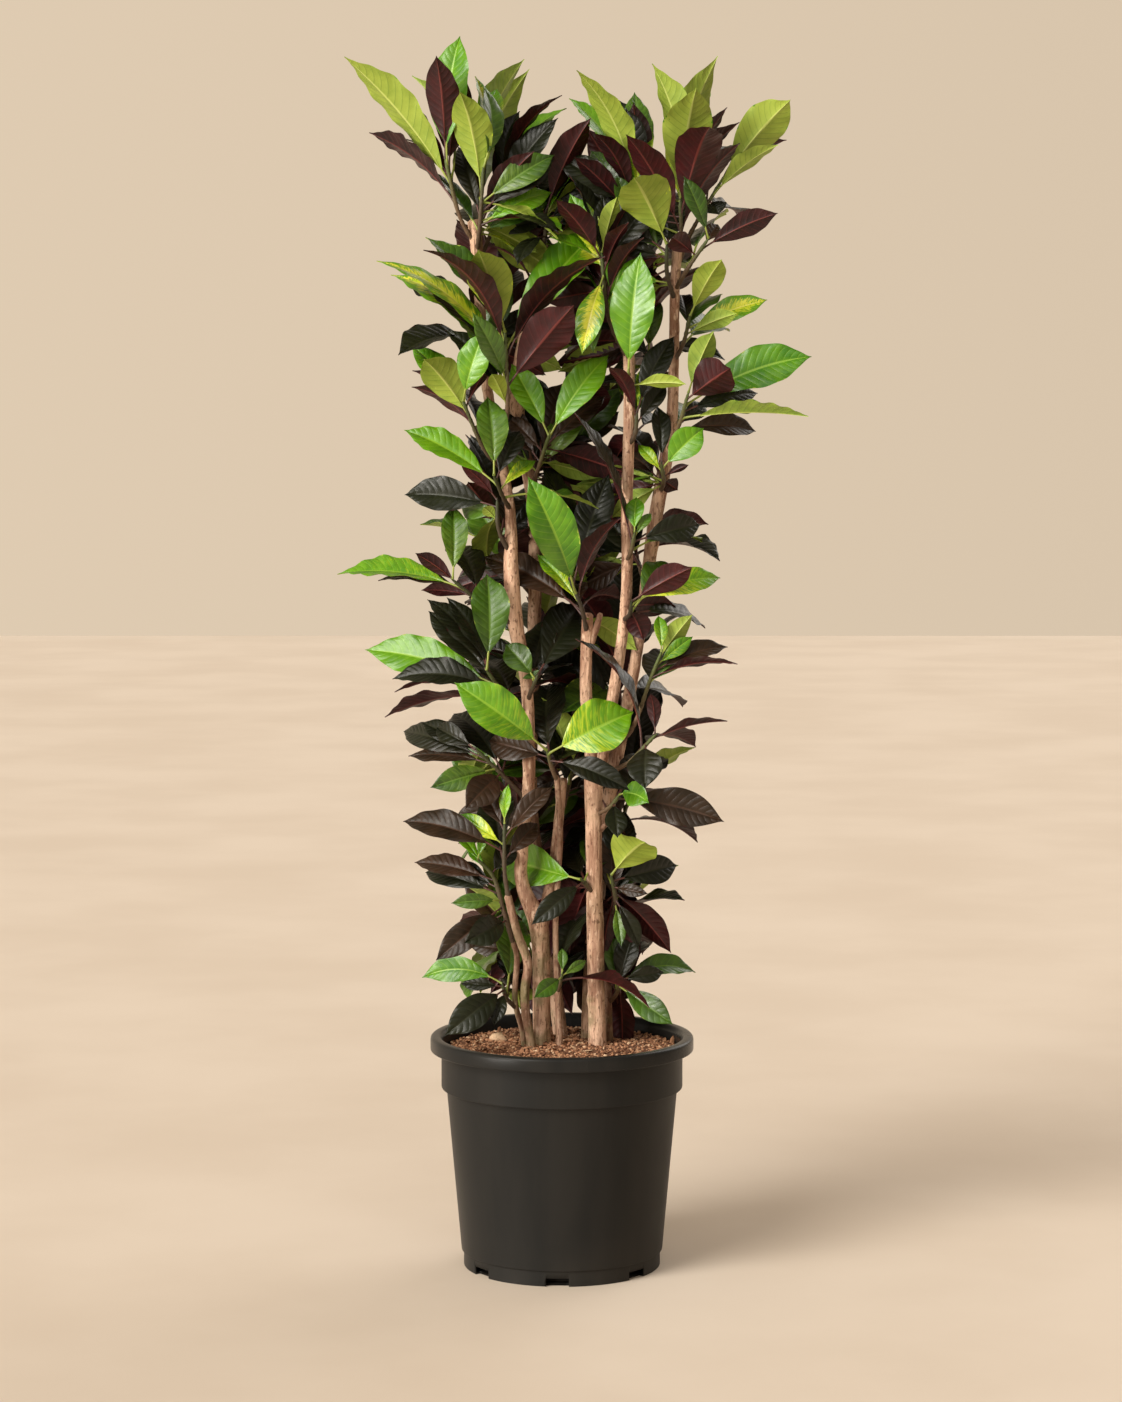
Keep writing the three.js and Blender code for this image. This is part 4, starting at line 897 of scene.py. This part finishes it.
def blade(leaf):
    """The blade's skin: upper face, then lower, in rows that follow the veins."""
    stalk, width = leaf["stalk"], leaf["width"]
    long = (Vector(leaf["tip"]) - Vector(leaf["root"])).length * (1 - stalk)
    veins = int(min(max(round(long / VEIN_SPACING), FEWEST_VEINS), MOST_VEINS))
    rows = 2 * veins + 1
    start = np.linspace(0, 1, rows)[:, None]
    v = COLUMNS[None]
    u = start + 0.15 * outline(start) * np.abs(v) ** 1.25
    half = np.maximum(outline(u) * width / 2, 1.4 * np.sqrt(np.clip(1 - u, 0, 1)) + 0.12)
    phase = start * veins
    puffed = (np.arange(rows) % 2)[:, None] * np.minimum(1, 4 * start * (1 - start) * 1.6)
    place, side, up = along_leaf(leaf, stalk + u * (1 - stalk))
    steps = (0.34, 0.36) if width < WIDE_LEAF else (0.26, 0.27)
    wave = leaf["wave"] * half * np.cos(math.pi * (u - steps[0]) / steps[1])
    first, second = leaf["draws"]
    ruffle = 0.07 * half * np.sin(phase * (1.7 + first) + 6 * second + 2 * np.sign(v))
    rise = np.abs(v) ** 1.2 * half * leaf["fold"] + np.sign(v) * v ** 2 * wave + ruffle * v ** 4
    window = np.clip(np.abs(v) * 3.4, 0, 1) * (1 - np.abs(v) ** 3)
    quilt = min(1.3, 0.026 * width) * puffed * window
    groove = -0.5 * np.exp(-(v / 0.1) ** 2)
    rib = 1.1 * np.exp(-(v / 0.06) ** 2) * (1 - 0.7 * start) + 0.45 * np.exp(-(v / 0.15) ** 2)
    skins = []
    for lift in (rise + quilt + groove + 0.3, rise + quilt - 0.3 - rib):
        lift = np.where(np.abs(v) == 1, rise, lift)
        skins.append(place + side * (v * half)[..., None] + up * lift[..., None])
    points, faces = rings(list(np.concatenate([skins[0], skins[1][:, -2:0:-1]], 1)))
    across = np.concatenate([COLUMNS, COLUMNS[-2:0:-1]])[None]
    uv = np.stack(np.broadcast_arrays(phase, across * 0.5 + 0.5), -1).reshape(-1, 2)
    marks = np.stack(np.broadcast_arrays(first, second, start + 0 * across), -1).reshape(-1, 3)
    kind = KINDS[leaf["look"]]
    above = len(COLUMNS) - 1
    finish = ([kind] * above + [kind + 1] * above) * (rows - 1) + [kind, kind]
    return {"points": points, "faces": faces, "finish": finish, "uv": uv, "marks": marks}


def plain_tube(places, radius, sides, finish, marks):
    points, faces = rings(list(tube_rows(places, radius, sides)))
    share = np.repeat(np.linspace(0, 1, len(places)), sides)
    uv = np.stack([share, np.zeros_like(share)], 1)
    marks = np.stack(np.broadcast_arrays(*marks, share), 1)
    return {"points": points, "faces": faces, "finish": finish, "uv": uv, "marks": marks}


def petiole(leaf, on):
    """The leaf's stalk, which starts in the middle of the twig's line that it grows on."""
    t = np.linspace(0, leaf["stalk"] * 1.12, 7)
    place, _, _ = along_leaf(leaf, t)
    place[0] = on[np.linalg.norm(on - place[0], axis=1).argmin()]
    thick = PETIOLE_RADII * (0.75 + 0.4 * min(leaf["width"], 80) / 80)
    dark = 1.0 if leaf["look"] in "DMB" else 0.0
    return plain_tube(place, thick, 8, PETIOLE, (dark, leaf["draws"][1]))


def twig_line(path):
    """Places and thickness along a twig, up to the bud past its last leaf."""
    ahead = (path[-1] - path[-2]).normalized()
    spots = [*path[:-1], path[-1] + ahead * TWIG_BUD]
    thick = [TWIG_BASE + (TWIG_TIP - TWIG_BASE) * i / (len(spots) - 1) for i in range(len(spots))]
    return curve_through([[*spot, wide] for spot, wide in zip(spots, thick)], TWIG_STEP)


def twig(line, seed):
    draws = fixed_draw(seed)
    radius = line[:, 3] * 0.74 * (1 + 0.09 * draws.normal(0, 1, len(line)))
    radius[-4:] *= [0.9, 0.75, 0.5, 0.12]
    return plain_tube(line[:, :3], radius, 10, TWIG, (draws.uniform(), draws.uniform()))


def leaf_marks(finish):
    """Vein position, place across, and the leaf's own draws and place along it, as sockets."""
    where = node(finish, "UVMap", {}, uv_map="UVMap").outputs[0]
    vein_run, wide, _ = node(finish, "SeparateXYZ", {0: where}).outputs
    across = sums(finish, "ABSOLUTE", sums(finish, "MULTIPLY_ADD", wide, 2.0, -1.0))
    beat = sums(finish, "SUBTRACT", sums(finish, "FRACT", vein_run), 0.5)
    beat = sums(finish, "ABSOLUTE", beat)
    inward = fade(finish, across, 1.0, 0.75, 0.15, 1.0)
    vein = times(finish, fade(finish, beat, 0.4, 0.5), inward)
    first, second, along = marks_in(finish)
    return {"where": where, "across": across, "beat": beat, "vein": vein, "first": first,
            "second": second, "along": along, "midrib": fade(finish, across, 0.075, 0.03)}


def streaks(finish, marks):
    """Noise drawn out along the side veins, from 0 to 1, and different on every leaf."""
    spread = node(finish, "Mapping", {"Vector": marks["where"], "Scale": (3.2, 4.5, 1)}).outputs[0]
    chance = node(finish, "VertexColor", {}, layer_name="marks").outputs[0]
    shifted = node(finish, "VectorMath", {0: chance, 1: (40, 40, 40), 2: spread},
                   operation="MULTIPLY_ADD").outputs[0]
    return node(finish, "TexNoise", {"Vector": shifted, "Scale": 1.0, "Detail": 4.0}).outputs["Fac"]


def leaf_relief(finish, shader, marks, puff, net_depth):
    """A blade puffed up between its side veins by so many millimetres, with a fine net of veins."""
    net = node(finish, "TexVoronoi", {"Scale": 420, "Vector": place_in(finish)},
               feature="DISTANCE_TO_EDGE").outputs[0]
    net = times(finish, fade(finish, net, 0.0, 0.25), net_depth)
    wide = times(finish, marks["beat"], 2.0)
    bulge = sums(finish, "SUBTRACT", 1.0, times(finish, wide, wide))
    for edge, full in ((0.02, 0.3), (1.0, 0.75)):
        bulge = times(finish, bulge, fade(finish, marks["across"], edge, full))
    relief(finish, shader, sums(finish, "MULTIPLY_ADD", bulge, puff, net), 0.001)


def body_colour(finish, cloud, marks, old, young):
    """Half by cloudy patches and half by the leaf's own draw."""
    cloudy = times(finish, fade(finish, cloud, 0.3, 0.7), 0.5)
    share = sums(finish, "MULTIPLY_ADD", marks["first"], 0.5, cloudy)
    return blend(finish, share, old, young)


def upper_face(name, old, young, vein, foot, rough, puff, veins, foot_share,
               specular=0.5, coat=0.12):
    """The glossy upper face: two body colours, the veins' colour, and the foot's colour."""
    finish, shader = new_finish(name, rough, specular, coat, 0.27)
    marks = leaf_marks(finish)
    fine = grain(finish, 160, 5)
    body = body_colour(finish, grain(finish, 38, 4), marks, old, young)
    # Paler streaks run out from the midrib between the veins, most of all toward the foot.
    chosen = fade(finish, marks["second"], 0.2, 1.0)
    toward_foot = times(finish, fade(finish, marks["along"], 0.95, 0.1), chosen)
    blotch = sums(finish, "MULTIPLY_ADD", toward_foot, 0.22, streaks(finish, marks))
    blotch = fade(finish, blotch, 0.54, 0.7, 0.0, foot_share)
    colour_by(finish, shader, body, (times(finish, toward_foot, blotch), foot),
              (times(finish, marks["vein"], veins), vein),
              (times(finish, marks["midrib"], min(1, veins + 0.35)), vein))
    join(finish, fade(finish, fine, 0.3, 0.75, rough - 0.06, rough + 0.1), shader, "Roughness")
    leaf_relief(finish, shader, marks, puff, 0.03)
    return finish


def lower_face(name, body, deep, vein, rib, rough, puff, veins):
    """The matte lower face: body colours, and the colour of the veins that stand out of it."""
    finish, shader = new_finish(name, rough, 0.35)
    marks = leaf_marks(finish)
    cloud = grain(finish, 45, 4)
    colour_by(finish, shader, body_colour(finish, cloud, marks, body, deep),
              (times(finish, marks["vein"], veins), vein),
              (times(finish, marks["midrib"], 0.9), rib))
    join(finish, fade(finish, cloud, 0.3, 0.75, rough - 0.05, rough + 0.08), shader, "Roughness")
    leaf_relief(finish, shader, marks, puff, 0.04)
    return finish


def yellow_face():
    """Yellow-green blade, greener to the margin and tip, with green streaks between the veins."""
    finish, shader = new_finish("leaf_yellow_above", 0.34, 0.5, 0.12, 0.2)
    marks = leaf_marks(finish)
    cloudy = fade(finish, grain(finish, 40, 4), 0.35, 0.65)
    outward = fade(finish, marks["across"], 0.15, 1.0, 0.0, 0.3)
    reach = sums(finish, "MULTIPLY_ADD", marks["along"], 0.16, outward)
    green = fade(finish, sums(finish, "ADD", streaks(finish, marks), reach), 0.6, 0.78)
    colour_by(finish, shader, (178, 192, 40), (cloudy, (210, 210, 62)), (green, (96, 146, 22)),
              (times(finish, marks["midrib"], 0.7), (214, 210, 100)))
    leaf_relief(finish, shader, marks, 0.4, 0.03)
    return finish


def petiole_finish():
    finish, shader = new_finish("petiole_green_or_dark", 0.42, 0.45)
    dark, _, along = marks_in(finish)
    young = blend(finish, along, (118, 132, 52), (158, 168, 78))
    old = blend(finish, along, (52, 34, 28), (92, 52, 46))
    colour_by(finish, shader, young, (dark, old))
    relief(finish, shader, grain(finish, 500, 3), 0.0003)
    return finish


def twig_finish():
    finish, shader = new_finish("twig_brown_to_green", 0.6, 0.4)
    chance, _, along = marks_in(finish)
    woody = blend(finish, chance, (64, 52, 40), (108, 84, 62))
    tip = blend(finish, chance, (46, 52, 30), (84, 98, 46))
    speck = fade(finish, grain(finish, 300, 4), 0.5, 0.7, 0, 0.5)
    colour_by(finish, shader, woody, (fade(finish, along, 0.35, 1.0), tip), (speck, (44, 36, 26)))
    relief(finish, shader, grain(finish, 420, 4, (1, 1, 0.4)), 0.0008)
    return finish


leaf_finishes = [
    upper_face("leaf_fresh_above", (54, 112, 4), (108, 160, 12), (140, 180, 48), (192, 204, 38),
               rough=0.36, puff=0.45, veins=0.3, foot_share=0.95, coat=0.25),
    lower_face("leaf_fresh_below", (158, 174, 68), (124, 146, 46), (100, 124, 40), (186, 196, 104),
               rough=0.55, puff=-0.3, veins=0.55),
    upper_face("leaf_green_above", (32, 62, 9), (76, 114, 20), (98, 132, 40), (112, 138, 36),
               rough=0.36, puff=0.5, veins=0.3, foot_share=0.5, coat=0.25),
    lower_face("leaf_green_below", (160, 180, 74), (116, 142, 50), (92, 118, 42), (184, 196, 100),
               rough=0.55, puff=-0.35, veins=0.5),
    upper_face("leaf_dark_above", (14, 18, 8), (30, 34, 16), (42, 44, 26), (44, 32, 20),
               rough=0.36, puff=0.6, veins=0.25, foot_share=0.3, specular=0.3, coat=0.06),
    lower_face("leaf_dark_below", (66, 22, 24), (29, 12, 12), (86, 34, 34), (112, 52, 48),
               rough=0.45, puff=-0.4, veins=0.4),
    yellow_face(),
    lower_face("leaf_yellow_below", (178, 184, 80), (152, 166, 60), (132, 150, 54), (190, 192, 100),
               rough=0.55, puff=-0.35, veins=0.4),
    upper_face("leaf_brown_above", (32, 24, 13), (60, 42, 28), (74, 50, 36), (70, 38, 28),
               rough=0.37, puff=0.6, veins=0.25, foot_share=0.3, specular=0.3, coat=0.06),
    lower_face("leaf_brown_below", (64, 26, 25), (36, 16, 15), (78, 36, 33), (100, 50, 44),
               rough=0.5, puff=-0.4, veins=0.4),
    petiole_finish(),
    twig_finish(),
]

plans = plan_shoots()
grown = []
for shoot, plan in enumerate(plans):
    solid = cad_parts[f"leafy_shoot_{shoot + 1:02d}"].data.vertices
    corners = kdtree.KDTree(len(solid))
    for i, corner in enumerate(solid):
        corners.insert(corner.co / MM, i)
    corners.balance()
    leaves = [settled(make, corners) for make in shoot_leaves(plan, shoot)]
    grown.append([leaf for leaf in leaves if leaf])

# Older leaves fill the inside of the plant. They stand low on the twigs, wherever they clear all
# the solids by a few millimetres and show no further out than the plant does at that height.
OLD_LEAF, OLD_LEAF_SPREAD, OLD_LEAF_RATIO = 105, 75, 0.42
CLEAR_OF_SOLIDS, CLEAR_OF_EACH_OTHER = 2.2, 7
# How far they may stand out past their shoot's solid and to the back, then how far left and
# right and to the front, by height.
SPREAD_OUT, BACK_LIMIT = 50, 225
INNER_ROOM = np.array([
    [350, -135, 115], [600, -175, 130], [800, -190, 115], [1000, -190, 135], [1200, -165, 140],
    [1400, -155, 190], [1550, -150, 140], [1640, -105, 150], [1720, -110, 190], [1900, -110, 200],
])
FRONT_LIMIT = (1480, 1560), (14, -105)
# By the crown's height: how far leaves may hang below the solid, the lowest angle and the range
# of angles seen from the front, how many are tried and kept, and the looks of hanging ones.
LOW_CROWN = 620, (130, -125, 430, 1200, 30, "MMMMB")
MIDDLE_CROWN = 1450, (SPREAD_OUT, -35, 250, 420, 18, "MMPMB")
HIGH_CROWN = math.inf, (SPREAD_OUT, -35, 250, 420, 18, "MMPML")
YOUNG_CROWN = 1560


def old_leaf(path, shoot, number, lowest, angles, rising, hanging):
    """Two of three spread flat to the front: rising ones show the upper face, hanging ones the
    lower. The third lies level in any direction."""
    root = root_on(path, (0.04 + 0.8 * draw(shoot, number, 1)) * (path_length(path) - 15))
    turn, rise = draw(shoot, number, 2), draw(shoot, number, 3)
    size = OLD_LEAF + OLD_LEAF_SPREAD * draw(shoot, number, 4)
    look = rising[number % 5]
    if number % 3 == 0:
        slope = -35 + 100 * rise
        return ruled_leaf(root, 360 * turn, slope, size, shoot, number, 0, look, OLD_LEAF_RATIO)
    angle = math.radians(lowest + angles * turn)
    if not 0 < angle < math.pi:
        look = hanging[number % 5]
    x, z = root.x + size * 0.85 * math.cos(angle), root.z + size * 0.85 * math.sin(angle)
    return seen_leaf(root, [x, z, (0.24 + 0.16 * rise) * size, look, {"to": 1}], shoot, number, 0)


def has_room(p, low, high):
    """Whether a point is near enough to its shoot's solid and inside the plant."""
    left, right = (np.interp(p.z, INNER_ROOM[:, 0], INNER_ROOM[:, k]) for k in (1, 2))
    within = all(low[k] < p[k] < high[k] for k in range(3))
    return within and left < p.x < right and np.interp(p.z, *FRONT_LIMIT) < p.y < BACK_LIMIT


spots, skins = [], []
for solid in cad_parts.values():
    base = len(spots)
    spots.extend(v.co / MM for v in solid.data.vertices)
    skins.extend([i + base for i in face.vertices] for face in solid.data.polygons)
near = BVHTree.FromPolygons(spots, skins)
placed = []
for shoot, (path, *_) in enumerate(plans):
    crown = path[-1].z
    hang, lowest, angles, tries, most, hanging = next(
        rule for limit, rule in (LOW_CROWN, MIDDLE_CROWN, HIGH_CROWN) if crown <= limit)
    rising = "FGDMD" if crown > YOUNG_CROWN else "DDDGB"
    low, high = (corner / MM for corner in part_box(f"leafy_shoot_{shoot + 1:02d}"))
    low = low - Vector((SPREAD_OUT, SPREAD_OUT, hang))
    high = high + Vector((SPREAD_OUT, SPREAD_OUT, SPREAD_OUT))
    added = 0
    for number in range(40, 40 + tries):
        leaf = old_leaf(path, shoot, number, lowest, angles, rising, hanging)
        places, side, _ = along_leaf(leaf, np.linspace(0.3, 1, 7))
        half = outline(np.linspace(0.15, 1, 7))[:, None] * leaf["width"] / 2
        margins = [places, places + side * half, places - side * half]
        probes = [Vector(p) for p in np.concatenate(margins)]
        if not all(has_room(p, low, high) for p in probes):
            continue
        if min(near.find_nearest(p)[3] for p in probes) < CLEAR_OF_SOLIDS:
            continue
        if any((p - q).length < CLEAR_OF_EACH_OTHER for q in placed for p in probes[::3]):
            continue
        placed.extend(probes[::2])
        grown[shoot].append(leaf)
        added += 1
        if added == most:
            break

low, high = (np.array(corner) / MM for corner in cad_box)
for shoot, (plan, leaves) in enumerate(zip(plans, grown)):
    name = f"leafy_shoot_{shoot + 1:02d}"
    line = twig_line(plan[0])
    parts = [twig(line, shoot)]
    for leaf in leaves:
        parts += [petiole(leaf, line[:, :3]), blade(leaf)]
    for part in parts:
        part["points"] = np.clip(part["points"], low, high)
    piece = make_piece(name + "_leaves", parts, leaf_finishes, sharp=55)
    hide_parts(name)
    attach(piece, "root")


# ==== Floor and light ======================================================================
# A pale, warm studio floor. Wide, soft light comes in high and low from the left in front, with
# a little from above and behind, and warm light from all round that is weaker overhead.
def floor_finish():
    finish, shader = new_finish("pale_floor", 0.7, 0.3)
    cloudy = fade(finish, grain(finish, 1.6, 5), 0.3, 0.7)
    colour_by(finish, shader, (222, 206, 188), (cloudy, (230, 215, 198)))
    return finish


floor_reach = 14000
square = np.array([(-1, -1, 0), (1, -1, 0), (1, 1, 0), (-1, 1, 0)], float) * floor_reach
floor = make_piece("studio_floor", [{"points": square, "faces": [(0, 1, 2, 3)]}], [floor_finish()])


def soft_light(name, toward, width, strength, colour):
    """Light from far away, over a disc as wide as so many degrees of the sky."""
    light = bpy.data.lights.new(name, "SUN")
    light.energy = strength
    light.angle = math.radians(width)
    light.color = colour
    stand = bpy.data.objects.new(name, light)
    stand.rotation_euler = Vector(toward).to_track_quat("Z", "Y").to_euler()
    bpy.context.scene.collection.objects.link(stand)


soft_light("window_key", (-0.66, -0.66, 0.72), 32, 2.3, (1.0, 0.96, 0.89))
soft_light("low_left", (-0.8, -0.58, 0.07), 24, 2.9, (1.0, 0.96, 0.9))
soft_light("high_front", (0.1, -0.75, 0.8), 34, 0.25, (1.0, 0.97, 0.93))
soft_light("back_fill", (0.7, 0.9, 0.7), 40, 0.8, (1.0, 0.97, 0.93))

surroundings = bpy.data.worlds.new("warm_room")
surroundings.use_nodes = True
look = node(surroundings, "TexCoord", {}).outputs["Generated"]
rise = node(surroundings, "SeparateXYZ", {0: look}).outputs[2]
dim = fade(surroundings, rise, 0.2, 0.7, 1.0, 0.45, "LINEAR")
aside = node(surroundings, "VectorMath", {0: look, 1: (-0.2, 0.16, 0)}, operation="DOT_PRODUCT")
level = sums(surroundings, "ADD", aside.outputs["Value"], 0.78)
glow = surroundings.node_tree.nodes["Background"]
glow.inputs["Color"].default_value = paint(226, 206, 180)
join(surroundings, times(surroundings, dim, level), glow, "Strength")
bpy.context.scene.world = surroundings
